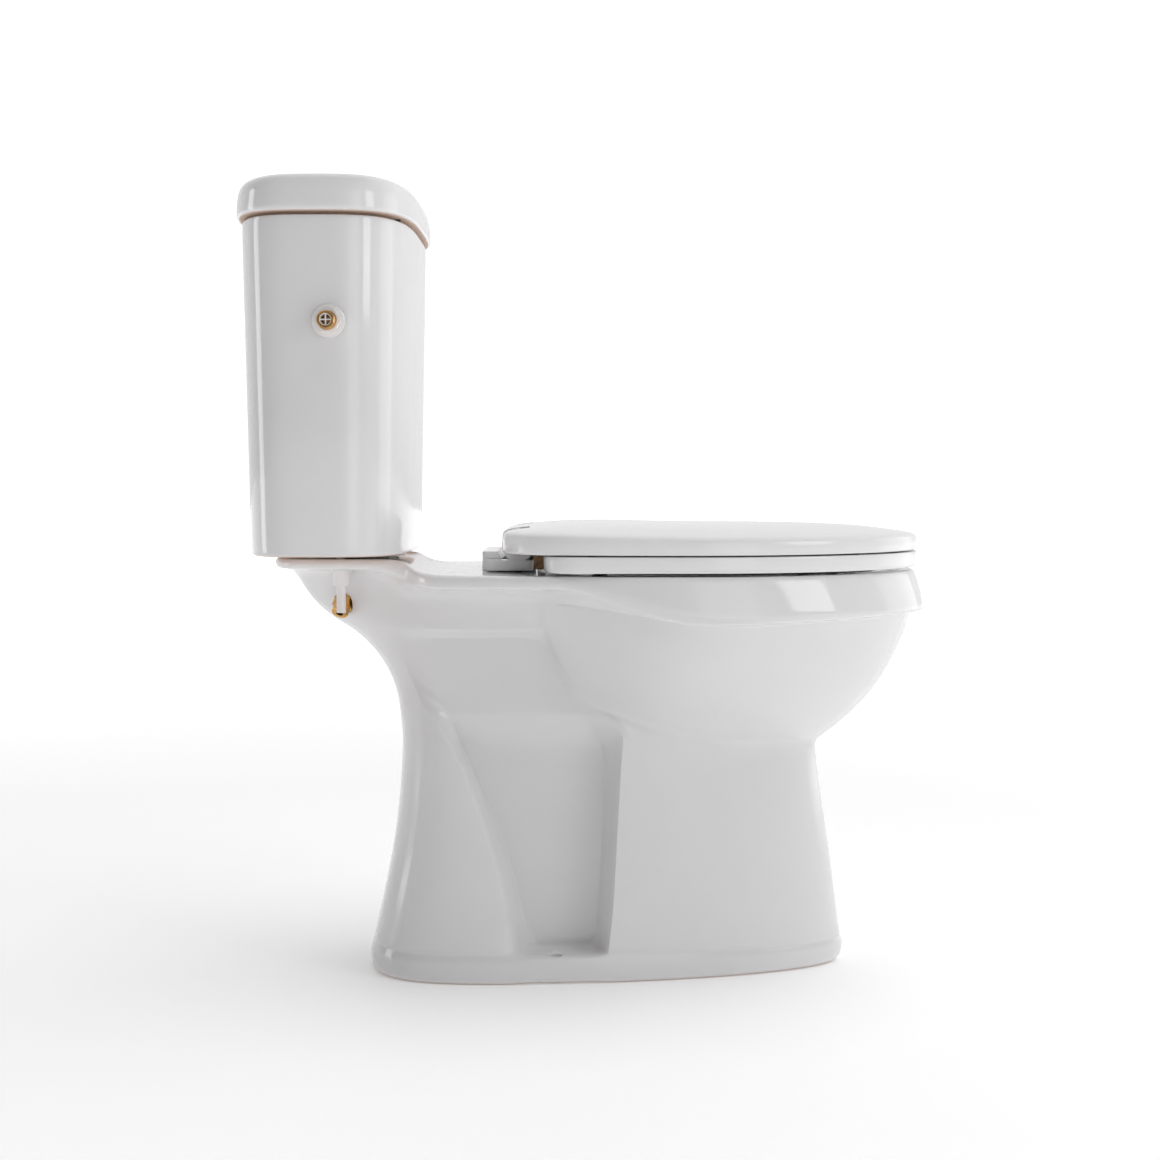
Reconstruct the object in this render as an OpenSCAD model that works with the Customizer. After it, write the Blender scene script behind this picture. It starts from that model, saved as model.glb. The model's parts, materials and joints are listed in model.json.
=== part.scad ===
// Close-coupled toilet with a bidet supply, in millimetres.
// Origin: on the floor under the centre of the waste outlet. +X points to the front, +Z up.

/* [Pan] */
// Height of the rim and deck above the floor
rim_z = 402; // [390:1:420]
// Front of the rim at its top edge, from the outlet centre
rim_front = 430; // [415:1:450]
// Half the width of the rim at its top edge
rim_half_w = 182; // [176:1:190]
// Height of the rim band at the front
band_h = 41; // [34:1:48]
// How far the rim band flares out towards its lower edge
band_flare = 11; // [6:1:14]
// Thickness of the deck behind the seat
deck_t = 14; // [11:1:18]
// Front edge of the bowl's opening, back from the rim's front
lip_front_w = 45; // [38:1:52]
// Half the width of the bowl's opening
opening_half_w = 128; // [118:1:134]
// Thickness of the china in walls and lips
china_t = 12; // [10:1:13]
// Front end of the foot, from the outlet centre
foot_front = 358; // [345:1:372]
// Rear end of the foot, behind the outlet centre
foot_rear = 126; // [120:1:136]
// Half the width of the foot at the floor
foot_half_w = 107.5; // [102:0.5:114]
// Height of the ledge at the foot of the side recess
ledge_z = 27; // [22:1:32]
// Half width across the lower floor of the side recesses
recess_low_y = 62; // [58:1:66]
// Half width across the upper floor of the side recesses
recess_high_y = 78; // [75:1:82]

/* [Tank shelf] */
// Height of the shelf above the deck
shelf_rise = 13; // [9:1:18]
// Rear edge of the shelf, behind the outlet centre
shelf_rear = 216; // [208:1:222]
// Half the width of the shelf
shelf_half_w = 103; // [98:1:110]
// Thickness of the shelf
shelf_t = 10; // [8:1:12]
// Distance of the tank bolts behind the outlet centre
tank_bolt_back = 143; // [140:1:150]
// Spacing of the two tank bolts
tank_bolt_span = 160; // [152:1:164]
// Diameter of the tank bolts
tank_bolt_d = 9; // [7:0.5:10]

/* [Waste and floor fixing] */
// Outer radius of the waste spigot
outlet_r = 50; // [47:0.5:52]
// Bore radius of the waste spigot
outlet_bore_r = 41; // [38:0.5:43]
// Straight length of the waste spigot
outlet_len = 45; // [38:1:52]
// Bore radius of the trapway
trap_r = 26; // [24:0.5:27]
// Floor screw holes, distance in front of the outlet centre
floor_hole_x = 66; // [56:1:80]
// Spacing of the floor screw holes
floor_hole_span = 184; // [178:1:188]
// Diameter of the floor screw holes
floor_hole_d = 12; // [10:0.5:14]

/* [Cistern] */
// Front face of the cistern at its top, behind the outlet centre
tank_front = 70; // [64:1:76]
// Depth of the cistern, front to back, at its top
tank_depth = 165; // [156:1:172]
// Half the width of the cistern at its top
tank_half_w = 190; // [182:1:198]
// Height of the cistern without its lid
tank_h = 314; // [295:1:335]
// How far each side draws in towards the bottom
tank_taper = 6; // [3:0.5:9]
// Thickness of the cistern's walls
tank_wall = 9; // [8:0.5:11]
// Gap between shelf and cistern, held by the gasket
tank_gap = 5; // [4:0.5:8]
// Height of the lid's band
lid_band_h = 33; // [28:1:38]
// Rise of the lid's crown above its band
lid_crown = 5; // [3:0.5:9]
// Overhang of the lid beyond the cistern
lid_over = 5; // [3:0.5:7]
// Gap between cistern and lid, where the lid's pads stand
lid_gap = 3; // [2:0.5:4]

/* [Flush] */
// Radius of the outlet hole in the cistern's floor
valve_hole_r = 32; // [30:0.5:34]
// Radius of the push button's bezel
bezel_r = 32; // [28:0.5:36]
// Radius of the button hole in the lid
lid_hole_r = 22; // [20:0.5:24]
// Travel of the full flush button
full_travel = 6; // [4:0.5:8]
// Travel of the half flush button
half_travel = 5; // [3:0.5:6]
// Lift of the flush valve's piston
piston_lift = 14; // [10:0.5:18]

/* [Water connections] */
// Outer radius of the brass water inlet
inlet_r = 8.33; // [6.5:0.01:10.5]
// Height of the water inlet above the cistern's underside
inlet_up = 217; // [200:1:235]
// Water inlet, distance behind the outlet centre
inlet_back = 140; // [132:1:148]
// Radius of the flange on the inlet nut
inlet_flange_r = 15.5; // [14:0.5:18]
// Outer radius of the brass bidet inlet
bidet_r = 8.33; // [6.5:0.01:9]
// Bidet inlet, distance below the deck's top
bidet_down = 32.5; // [31:0.5:35]

/* [Seat] */
// Gap between rim and seat ring, held by the bumpers
seat_gap = 4.5; // [3:0.5:6]
// Thickness of the seat ring
ring_t = 14; // [12:0.5:16]
// Gap between seat ring and lid, held by the lid's bumpers
seat_lid_gap = 2.3; // [1.5:0.1:3.5]
// Height of the lid's side at the front
lid_side_h = 14.5; // [12:0.5:18]
// Rise of the seat lid's crown above its front edge
seat_crown = 14; // [9:1:17]
// Half the width of the seat ring and lid
seat_half_w = 180; // [174:1:184]
// Front of the seat ring and lid, from the outlet centre
seat_front = 431; // [422:1:438]
// Half the width of the ring's hole
ring_hole_half_w = 112; // [100:1:120]
// Spacing of the two seat hinges
hinge_span = 150; // [140:1:160]
// Hinge axis, distance in front of the outlet centre
hinge_x = 30; // [28:0.5:33]
// Hinge axis, height above the deck
hinge_up = 26; // [24:0.5:28]
// Opening angle of the seat lid
lid_open = 101; // [85:1:101]
// Radius of the metal hinge pins
pin_r = 4; // [3:0.5:5]

/* [Hidden] */
$fn = 48;

china = [0.86, 0.86, 0.87];
plastic = [0.93, 0.93, 0.93];
nylon = [0.95, 0.94, 0.92];
brass = [0.72, 0.52, 0.22];
steel = [0.75, 0.75, 0.77];
bronze = [0.45, 0.36, 0.25];
rubber = [0.2, 0.2, 0.21];

// Heights that follow from the driving sizes
shelf_z = rim_z + shelf_rise;
tank_z = shelf_z + tank_gap;
tank_top = tank_z + tank_h;
cover_z = tank_top + lid_gap;
cover_top = cover_z + lid_band_h + lid_crown;
ring_z = rim_z + seat_gap;
seat_lid_z = ring_z + ring_t + seat_lid_gap;
hinge_z = rim_z + hinge_up;
inlet_z = tank_z + inlet_up;

// Curves

function superellipse(t, p) = pow(max(0, 1 - pow(min(1, abs(t)), p)), 1 / p);

// A point at angle a on a plan outline: its front half reaches af ahead of xc and its rear half ar behind
function plan_point(a, xc, ar, af, b, pr, pf) =
    let (c = cos(a), s = sin(a), p = c < 0 ? pr : pf)
    [xc + (c < 0 ? -ar : af) * pow(abs(c), 2 / p), b * pow(abs(s), 2 / p) * (s < 0 ? -1 : 1)];

function ring(n, z, xc, ar, af, b, pr, pf) =
    [for (i = [0:n - 1]) let (q = plan_point(180 - 360 * i / n, xc, ar, af, b, pr, pf)) [q[0], q[1], z]];

// The ring moved in by d along its own normals
function inset(r, d) =
    [for (i = [0:len(r) - 1])
        let (n = len(r), t = r[(i + 1) % n] - r[(i + n - 1) % n], l = norm([t[0], t[1]]))
        [r[i][0] + d * t[1] / l, r[i][1] - d * t[0] / l, r[i][2]]];

function mix(a, b, t) = a + (b - a) * t;

function smooth(t) = let (u = min(1, max(0, t))) u * u * (3 - 2 * u);

// Triangles between neighbouring rings of n points each
function bands(rows, n) =
    [for (j = [0:rows - 2], i = [0:n - 1], k = [0, 1])
        let (a = j * n + i, b = j * n + (i + 1) % n)
        k == 0 ? [a, b, b + n] : [a, b + n, a + n]];

// A closed skin over rings that run clockwise seen from above, from the underside outwards and up
module skin(rings) {
    n = len(rings[0]);
    m = len(rings);
    first = [for (i = [n - 1:-1:0]) i];
    last = [for (i = [0:n - 1]) (m - 1) * n + i];
    polyhedron([for (r = rings) each r], concat(bands(m, n), [first, last]));
}

// A closed skin over rings that come back to the first one, as round a seat
module hoop(rings) {
    n = len(rings[0]);
    m = len(rings);
    closing = [for (i = [0:n - 1], k = [0, 1])
        let (a = (m - 1) * n + i, b = (m - 1) * n + (i + 1) % n, c = i, d = (i + 1) % n)
        k == 0 ? [a, b, d] : [a, d, c]];
    polyhedron([for (r = rings) each r], concat(bands(m, n), closing));
}

module tube(r, bore, h) {
    difference() {
        cylinder(r = r, h = h);
        translate([0, 0, -1]) cylinder(r = bore, h = h + 2);
    }
}

module hexagon(across_flats, h) {
    cylinder(r = across_flats / sqrt(3), h = h, $fn = 6);
}

// Turns a shape drawn up Z so that it points to the near side, -Y
module to_side() {
    rotate([90, 0, 0]) children();
}

module both_sides(y) {
    for (s = [-1, 1]) translate([0, s * y, 0]) children();
}

// Pan: profiles seen from the side, each a list of [height, distance]

// Rear of the pan behind the outlet centre: the foot, the waist and the sweep up under the shelf
rear_side = [[0, foot_rear - 4], [8, foot_rear], [19, foot_rear - 1.5], [45, foot_rear - 10], [90, foot_rear - 19.5],
    [141, foot_rear - 29.5], [190, foot_rear - 34.5], [236, foot_rear - 36.5], [rim_z - 120, shelf_rear - 121],
    [rim_z - 95, shelf_rear - 110], [rim_z - 77, shelf_rear - 96], [rim_z - 61, shelf_rear - 77],
    [rim_z - 54, shelf_rear - 62], [rim_z - 38, shelf_rear - 36], [rim_z - 23, shelf_rear - 25],
    [rim_z, shelf_rear - 15]];
// Front of the pedestal up to the neck below the bowl
neck_z = 228;
foot_side = [[0, foot_front - 4], [10, foot_front + 5], [22, foot_front + 2], [39, foot_front - 4],
    [76, foot_front - 7], [128, foot_front - 14.5], [185, foot_front - 24], [219, foot_front - 28],
    [neck_z, foot_front - 28]];
// Front of the bowl from the neck to the underside of the rim band
bowl_side = [[neck_z, rim_front - 97], [rim_z - 164, rim_front - 82], [rim_z - 151, rim_front - 65],
    [rim_z - 128, rim_front - 44], [rim_z - 98, rim_front - 24], [rim_z - 61, rim_front - 9],
    [rim_z - band_h, rim_front - 3]];
// Half widths of the pedestal and of the bowl, by height
foot_width = [[0, foot_half_w], [ledge_z, foot_half_w - 1], [100, foot_half_w - 3.5], [260, foot_half_w - 7.5],
    [rim_z - 57, foot_half_w - 9.5], [rim_z - 12, foot_half_w - 10.5]];
bowl_width = [[neck_z, rim_half_w - 124], [rim_z - 165, rim_half_w - 107], [rim_z - 154, rim_half_w - 92],
    [rim_z - 143, rim_half_w - 80], [rim_z - 128, rim_half_w - 61], [rim_z - 98, rim_half_w - 34],
    [rim_z - 61, rim_half_w - 15], [rim_z - band_h, rim_half_w - 9]];
// How far the bowl reaches behind its widest place, by height
bowl_x = 200;
bowl_back = [[neck_z, 130], [rim_z - 138, 137], [rim_z - 114, 150], [rim_z - 66, 171], [rim_z, 179]];
// Bluntness of the pedestal's rear end, by height
rear_power = [[0, 2.75], [250, 2.6], [rim_z - 57, 2], [rim_z - 12, 1.7]];
front_power = 1.8;

// Rails up the side: the rear and front borders of the recess, each at the surface and at the recess floor
recess_top = rim_z - 58;
rail_a = [[33, 24], [75, 20], [90, 15], [141, 2.5], [180, -11], [222, -29], [257, -53], [268, -62], [306, -79],
    [recess_top, -95], [rim_z - 14, -98]];
rail_b = [[0, 40], [30, 39.5], [85, 30.5], [110, 26], [154, 9], [198, -14], [262, -39], [recess_top - 5, -83],
    [rim_z - 14, -85]];
rail_c = [[0, 105], [34, 106], [127, 112], [219, 115], [238, 110], [259, 90], [recess_top - 4, 52], [rim_z - 14, 45]];
rail_d = [[0, 116], [29, 117], [68, 122], [223, 130], [250, 134], [257, 132], [264, 112], [288, 86], [336, 61],
    [rim_z - 14, 50]];
// Crease between bowl and pedestal, as [distance, height]
crease = [[117, 262], [136, 260], [167, 247], [207, 236.7], [255, 232], [319, 229], [rim_front - 97, neck_z]];
crease_gap = 5;

// Outline of the shelf, deck and rim from the shelf's side corner forward, as [distance, half width]
deck_edge = [[-100, shelf_half_w], [-82, shelf_half_w + 0.5], [-74, shelf_half_w + 9], [-65, shelf_half_w + 26],
    [-54, shelf_half_w + 38], [-42, shelf_half_w + 45], [-15, rim_half_w - 27], [15, rim_half_w - 19],
    [50, rim_half_w - 12], [85, rim_half_w - 6], [120, rim_half_w - 2], [160, rim_half_w], [bowl_x, rim_half_w]];
shelf_corner_x = -150;
// Underside and top of that slab along the pan, as [distance, height]
under_edge = [[-96, shelf_z - shelf_t], [-82, shelf_z - shelf_t - 8], [-64, rim_z - deck_t + 2],
    [-42, rim_z - deck_t], [50, rim_z - deck_t + 1], [87, rim_z - deck_t + 2], [106, rim_z - 19], [145, rim_z - 34],
    [161, rim_z - band_h], [175, rim_z - band_h - 4], [205, rim_z - band_h - 6], [272, rim_z - band_h - 3],
    [330, rim_z - band_h]];
shelf_front = [[-82, shelf_z], [-79, shelf_z - 1], [-73, rim_z + 5], [-64, rim_z + 1.5], [-42, rim_z]];

function foot_y(x, z) =
    let (w = lookup(z, foot_width), p = lookup(z, rear_power))
    x < 0 ? w * superellipse(x / lookup(z, rear_side), p) : w * superellipse(x / lookup(z, foot_side), front_power);

function bowl_y(x, z) =
    lookup(z, bowl_width) * (x < bowl_x ? superellipse((bowl_x - x) / lookup(z, bowl_back), 2)
        : superellipse((x - bowl_x) / (lookup(z, bowl_side) - bowl_x), front_power));

// Columns of the pan's skin from the rear centre line to the nose:
// the rear end, the recess's rear bevel, its floor, its front bevel, then the pedestal or bowl
rear_n = 8;
bevel_n = 2;
floor_n = 5;
front_n = 10;
col_a = rear_n;
col_b = col_a + bevel_n;
col_c = col_b + floor_n;
col_d = col_c + bevel_n;
cols = col_d + front_n;

// Heights over the front run from 0 at the floor to 1 at the crease and 2 under the rim band
function front_z(x, h) =
    h <= 1 ? h * lookup(x, crease)
        : let (c = lookup(x, crease) + crease_gap) mix(c, lookup(x, under_edge) - 2, h - 1);

function front_end(h) =
    h <= 1 ? lookup(h * neck_z, foot_side) : lookup(front_z(rim_front, h), bowl_side);

// Keeps a height below the slab's underside
under_drop = 0.5;
function under_slab(x, z) = min(z, lookup(x, under_edge) - under_drop);

// A point of the pan's side: zr is the height at the rear, zc at the recess, h over the front,
// and floor_y the half width of the recess floor, or 0 where the side is whole
function side_point(i, zr, zc, h, floor_y) =
    let (
        zd = front_z(lookup(200, rail_d), h),
        xa = lookup(zr, rail_a),
        za = under_slab(xa, zr),
        xb = lookup(zc, rail_b),
        xc = lookup(zc, rail_c),
        xd = lookup(zd, rail_d),
        yb = floor_y > 0 ? floor_y : foot_y(xb, zc),
        yc = floor_y > 0 ? floor_y : foot_y(xc, zc),
        yd = h <= 1 ? foot_y(xd, zd) : bowl_y(xd, zd)
    )
    i <= col_a ? let (xr = -lookup(zr, rear_side), x = xr + (xa - xr) * (1 - cos(90 * i / rear_n)))
        [x, i == 0 ? 0 : foot_y(x, zr), under_slab(x, zr)]
    : i <= col_b ? let (t = (i - col_a) / bevel_n)
        [mix(xa, xb, t), mix(foot_y(xa, zr), yb, t), mix(za, zc, t)]
    : i <= col_c ? let (t = (i - col_b) / floor_n, x = mix(xb, xc, t))
        [x, floor_y > 0 ? floor_y : foot_y(x, zc), zc]
    : i <= col_d ? let (t = (i - col_c) / bevel_n)
        [mix(xc, xd, t), mix(yc, yd, t), mix(zc, zd, t)]
    : let (xn = front_end(h), x = xd + (xn - xd) * sin(90 * (i - col_d) / front_n), z = front_z(x, h))
        [x, i == cols ? 0 : h <= 1 ? foot_y(x, z) : bowl_y(x, z), z];

// Both halves of a ring from a list of its near points
function whole(half) =
    concat(half, [for (i = [len(half) - 2:-1:1]) [half[i][0], -half[i][1], half[i][2]]]);

function side_ring(zr, zc, h, floor_y = 0) = whole([for (i = [0:cols]) side_point(i, zr, zc, h, floor_y)]);

// The slab's edge, moved out by d
corner_n = 5;
edge_n = 18;
function deck_point(i, d) =
    i <= corner_n ? let (a = 90 * i / corner_n)
        [shelf_corner_x - (shelf_rear + shelf_corner_x + d) * cos(a), (shelf_half_w + d) * superellipse(cos(a), 3)]
    : i < edge_n ? let (q = deck_edge[i - corner_n - 1]) [q[0], q[1] + d]
    : let (a = 90 * (i - edge_n) / (cols - edge_n))
        let (w = (rim_half_w + d) * superellipse(sin(a), front_power))
        [bowl_x + (rim_front - bowl_x + d) * sin(a), i == cols ? 0 : w];

// Flare of the band grows towards the front
function flare(x) = band_flare * smooth((x - 60) / 240) * (0.45 + 0.55 * smooth((x - 200) / 200));

function deck_under(d, up) =
    whole([for (i = [0:cols]) let (e = deck_point(i, 0), q = deck_point(i, flare(e[0]) + d))
        [q[0], q[1], lookup(e[0], under_edge) + up]]);

function deck_over(d, down) =
    whole([for (i = [0:cols]) let (q = deck_point(i, d)) [q[0], q[1], lookup(q[0], shelf_front) - down]]);

// The bowl's opening and the rings inside it share the skin's columns
function inner_angle(i) = i <= col_d ? 180 - 80 * i / col_d : 100 * (cols - i) / front_n;

function inner_ring(z, xc, ar, af, b, p = 2) =
    whole([for (i = [0:cols]) let (q = plan_point(inner_angle(i), xc, ar, af, b, 2.2, p))
        [q[0], i == 0 || i == cols ? 0 : q[1], z]]);

opening_x = 225;
opening_back = 155;
opening_front = rim_front - lip_front_w - opening_x;
function opening(d, z) =
    inner_ring(z, opening_x, opening_back + d, opening_front + d, opening_half_w + d);

// Rings across the deck: straight where the shelf steps down to the deck, then round the rim
function across(x_line, least) =
    let (o = opening(0, rim_z))
    whole([for (i = [0:cols])
        let (s = deck_point(i, -4), q = o[i], f = s[0] < x_line ? (x_line - s[0]) / (q[0] - s[0]) : 0,
            g = max(least, min(f, 0.9)), x = mix(s[0], q[0], g))
        [x, mix(s[1], q[1], g), lookup(x, shelf_front)]]);

// The hollow foot: side rings moved in, then a ceiling, then down round the bowl's sump
ceiling_z = 165;
function foot_ring(z) = inset(side_ring(z, z, z / 262, recess_low_y), china_t);
// The same ring drawn in between the two recesses, so that the ceiling stays clear of them
function ceiling_ring(z) =
    [for (q = foot_ring(z))
        let (most = recess_low_y - china_t - 2 + max(0, q[0] - 118) * 2)
        [q[0], max(-most, min(most, q[1])), q[2]]];
function sump_angle(i) = i <= col_c ? 180 - 50 * i / col_c : 130 * (cols - i) / (cols - col_c);
function sump_ring(z, xc, ar, af, b) =
    whole([for (i = [0:cols]) let (q = plan_point(sump_angle(i), xc, ar, af, b, 2, 2))
        [q[0], i == 0 || i == cols ? 0 : q[1], z]]);

sump_x = 150;
lip_down = 38;
module pan_skin() {
    skin([
        sump_ring(68, sump_x, 32, 32, 26),
        sump_ring(76, sump_x, 44, 46, 37),
        sump_ring(112, sump_x, 58, 64, 52),
        sump_ring(ceiling_z, sump_x + 20, 82, 90, 60),
        ceiling_ring(ceiling_z),
        foot_ring(ceiling_z),
        foot_ring(110),
        foot_ring(60),
        foot_ring(0),
        inset(side_ring(0, 0, 0), 3),
        side_ring(6, 6, 6 / 262),
        side_ring(ledge_z - 3, ledge_z - 3, 0.095),
        inset(side_ring(ledge_z + 1, ledge_z, 0.11), 2),
        side_ring(ledge_z + 5, ledge_z + 0.5, 0.125, recess_low_y + 3),
        side_ring(ledge_z + 9, ledge_z + 4, 0.14, recess_low_y),
        side_ring(80, 80, 0.3, recess_low_y),
        side_ring(130, 130, 0.5, recess_low_y),
        side_ring(180, 180, 0.7, recess_low_y),
        side_ring(222, 226, 0.87, recess_low_y),
        side_ring(240, 244, 0.94, mix(recess_low_y, recess_high_y, 0.6)),
        side_ring(258, 262, 1, recess_high_y),
        side_ring(276, 274, 1.0001, recess_high_y),
        side_ring(298, 296, 1.25, recess_high_y),
        side_ring(320, 318, 1.5, recess_high_y),
        side_ring(recess_top - 3, recess_top - 7, 1.75, recess_high_y),
        side_ring(recess_top + 4, recess_top + 3, 1.86),
        side_ring(rim_z - 32, rim_z - 34, 1.96),
        side_ring(shelf_z - shelf_t, rim_z - 17, 2),
        deck_under(-6, 0),
        deck_under(0, 4),
        deck_over(0, 4),
        deck_over(-4, 0),
        across(-79, 0.06),
        across(-73, 0.12),
        across(-64, 0.18),
        across(-42, 0.26),
        opening(4, rim_z),
        opening(0, rim_z - 4),
        opening(0, rim_z - lip_down),
        opening(china_t - 3, rim_z - lip_down),
        opening(china_t - 2, rim_z - 14),
        opening(28, rim_z - 14),
        inner_ring(rim_z - 52, opening_x, 166, rim_front - 23 - opening_x, rim_half_w - 29),
        inner_ring(rim_z - 102, opening_x, 146, rim_front - 46 - opening_x, rim_half_w - 52, 1.9),
        inner_ring(rim_z - 127, opening_x - 5, 126, rim_front - 66 - opening_x, rim_half_w - 77, 1.8),
        inner_ring(rim_z - 152, opening_x - 15, 108, rim_front - 75 - opening_x, rim_half_w - 104, 1.8),
        inner_ring(rim_z - 172, opening_x - 25, 94, rim_front - 88 - opening_x, rim_half_w - 119, 1.8),
        inner_ring(200, opening_x - 40, 82, 100, 54),
        inner_ring(150, opening_x - 60, 60, 75, 44),
        inner_ring(105, sump_x, 43, 50, 38),
        inner_ring(84, sump_x, 33, 36, 28),
        inner_ring(80, sump_x, 26, 28, 21)
    ]);
}

// Trapway: level throat, bend up, over the weir and down to the spigot
throat_z = 105;
throat_bend = 45;
weir_bend = 38;
rise_x = 2 * weir_bend;
weir_z = 177;
trap_wall = 9;

module bend(radius, r, from, angle) {
    rotate([90, 0, 0]) rotate([0, 0, from]) rotate_extrude(angle = angle) translate([radius, 0]) circle(r = r);
}

module trap_run(r, throat_len, down_to) {
    $fn = 24;
    translate([rise_x + throat_bend, 0, throat_z]) rotate([0, 90, 0]) cylinder(r = r, h = throat_len);
    translate([rise_x + throat_bend, 0, throat_z + throat_bend]) bend(throat_bend, r, 180, 90);
    translate([rise_x, 0, throat_z + throat_bend]) cylinder(r = r, h = weir_z - throat_z - throat_bend);
    translate([weir_bend, 0, weir_z]) bend(weir_bend, r, 0, 180);
    translate([0, 0, down_to]) cylinder(r = r, h = weir_z - down_to);
}

flush_hole_r = valve_hole_r + 3;
flush_hole_x = -tank_bolt_back + 3;
flush_nut_r = valve_hole_r + 12;
flush_nut_h = 10;
flush_recess_r = flush_nut_r + 2.5;
flush_recess_z = tank_z - flush_nut_h - 3;
flush_cone_z = rim_z - 15;
duct_r = 15;
duct_z = rim_z - 36;
// The bidet inlet turns to the rear and dips, so that a hose passes the tank bolt
bidet_turn = 20;
bidet_dip = 50;
bidet_axis = [-sin(bidet_turn) * cos(bidet_dip), -cos(bidet_turn) * cos(bidet_dip), -sin(bidet_dip)];
bidet_x = -tank_bolt_back - 1;
bidet_z = rim_z - bidet_down;
bidet_at = [bidet_x, -foot_y(bidet_x, bidet_z), bidet_z];
bidet_neck_r = bidet_r - 0.5;
bidet_neck = 7.5;
bidet_sunk = 5.5;
bidet_hex = 2 * bidet_r + 0.8;
bidet_hex_h = 10;
bidet_free = 8;
bidet_bore = 3.5;
pipe_r = 4;
pipe_from = bidet_at - (bidet_sunk + bidet_neck) * bidet_axis;
pipe_to = [58, -22, rim_z - 18];
hinge_bolt_x = hinge_x - 9;
hinge_bolt_r = 4;
plug_r = 7.5;
plug_len = 32;

// Points a shape drawn up Z from one place to another
module aim(from, to) {
    d = to - from;
    translate(from) rotate([0, acos(d[2] / norm(d)), atan2(d[1], d[0])]) children();
}

// Draws along the bidet inlet's axis, from the face that its hexagon sits on
module at_bidet() {
    aim(bidet_at - bidet_sunk * bidet_axis, bidet_at) children();
}

module pan() {
    color(china) difference() {
        union() {
            pan_skin();
            trap_run(trap_r + trap_wall, 8, outlet_len + 12);
            cylinder(r = outlet_r, h = outlet_len);
            translate([0, 0, outlet_len]) cylinder(r1 = outlet_r, r2 = trap_r + trap_wall, h = 12);
        }
        trap_run(trap_r, 30, outlet_len);
        translate([0, 0, -1]) cylinder(r = outlet_bore_r, h = outlet_len - 9);
        translate([0, 0, outlet_len - 10]) cylinder(r1 = outlet_bore_r, r2 = trap_r, h = 10);
        translate([flush_hole_x, 0, flush_recess_z]) cylinder(r = flush_recess_r, h = 60);
        translate([flush_hole_x, 0, flush_cone_z]) cylinder(r = flush_hole_r, h = 60);
        translate([flush_hole_x, 0, duct_z]) cylinder(r1 = duct_r + 4, r2 = flush_hole_r, h = flush_cone_z - duct_z);
        translate([flush_hole_x - duct_r, 0, duct_z]) rotate([0, 90, 0])
            cylinder(r = duct_r, h = opening_x - opening_back - 8 - flush_hole_x + duct_r);
        aim(pipe_from, pipe_to) cylinder(r = pipe_r + 0.5, h = norm(pipe_to - pipe_from) + 30);
        both_sides(tank_bolt_span / 2)
            translate([-tank_bolt_back, 0, shelf_z - 40]) cylinder(d = tank_bolt_d + 3, h = 60);
        both_sides(hinge_span / 2)
            translate([hinge_bolt_x, 0, rim_z - plug_len - 6]) cylinder(r = plug_r + 0.1, h = plug_len + 20);
        both_sides(floor_hole_span / 2)
            translate([floor_hole_x, 0, -1]) cylinder(d = floor_hole_d, h = ledge_z + 20);
        at_bidet() translate([0, 0, -bidet_neck - 0.3]) cylinder(r = bidet_neck_r + 0.3, h = bidet_neck + 1);
        at_bidet() cylinder(r = bidet_hex / sqrt(3) + 0.5, h = 40);
    }
}

// Cistern

tank_mid = -tank_front - tank_depth / 2;
tank_n = 48;
tank_p = 3.5;
function tank_draw(z) = tank_taper * (tank_top - z) / tank_h;
function tank_ring(z, d) =
    let (t = tank_draw(z))
    ring(tank_n, z, tank_mid, tank_depth / 2 + d - t, tank_depth / 2 + d - t, tank_half_w + d - t, tank_p, tank_p);
// Half the width of that ring at the place x
function tank_side(x, z, d) =
    let (m = d - tank_draw(z)) (tank_half_w + m) * superellipse((x - tank_mid) / (tank_depth / 2 + m), tank_p);

tank_floor = 12;
module cistern() {
    color(china) difference() {
        skin([
            tank_ring(tank_z, -4),
            tank_ring(tank_z + 1.2, -1.2),
            tank_ring(tank_z + 4, 0),
            tank_ring(tank_z + tank_h / 2, 0),
            tank_ring(tank_top - 3, 0),
            tank_ring(tank_top, -2),
            tank_ring(tank_top, -tank_wall),
            tank_ring(tank_z + tank_floor + 10, -tank_wall),
            tank_ring(tank_z + tank_floor, -tank_wall - 8)
        ]);
        translate([flush_hole_x, 0, tank_z - 1]) cylinder(r = valve_hole_r, h = tank_floor + 2);
        both_sides(tank_bolt_span / 2)
            translate([-tank_bolt_back, 0, tank_z - 1]) cylinder(d = tank_bolt_d + 3, h = tank_floor + 2);
        translate([-inlet_back, -tank_half_w + 30, inlet_z]) to_side() cylinder(r = shank_r + 0.3, h = 40);
    }
}

function cover_ring(z, d) =
    ring(tank_n, z, tank_mid, tank_depth / 2 + d, tank_depth / 2 + d, tank_half_w + d, tank_p, tank_p);

cover_t = 10;
cover_lip_d = -tank_wall - 2.5;
module cistern_lid() {
    top = cover_z + lid_band_h;
    color(china) difference() {
        skin([
            cover_ring(top - cover_t, cover_lip_d - 30),
            cover_ring(top - cover_t - 3, cover_lip_d - cover_t + 2),
            cover_ring(cover_z - 9, cover_lip_d - cover_t + 3),
            cover_ring(cover_z - 9, cover_lip_d),
            cover_ring(cover_z, cover_lip_d + 1),
            cover_ring(cover_z, lid_over - 2),
            cover_ring(cover_z + 4, lid_over),
            cover_ring(top - 12, lid_over - 1),
            cover_ring(top - 4, lid_over - 4),
            cover_ring(top + 0.2 * lid_crown, lid_over - 11),
            cover_ring(top + 0.7 * lid_crown, lid_over - 25),
            cover_ring(cover_top, lid_over - 43)
        ]);
        translate([flush_hole_x, 0, top - 60]) cylinder(r = lid_hole_r, h = 90);
    }
}

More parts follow.
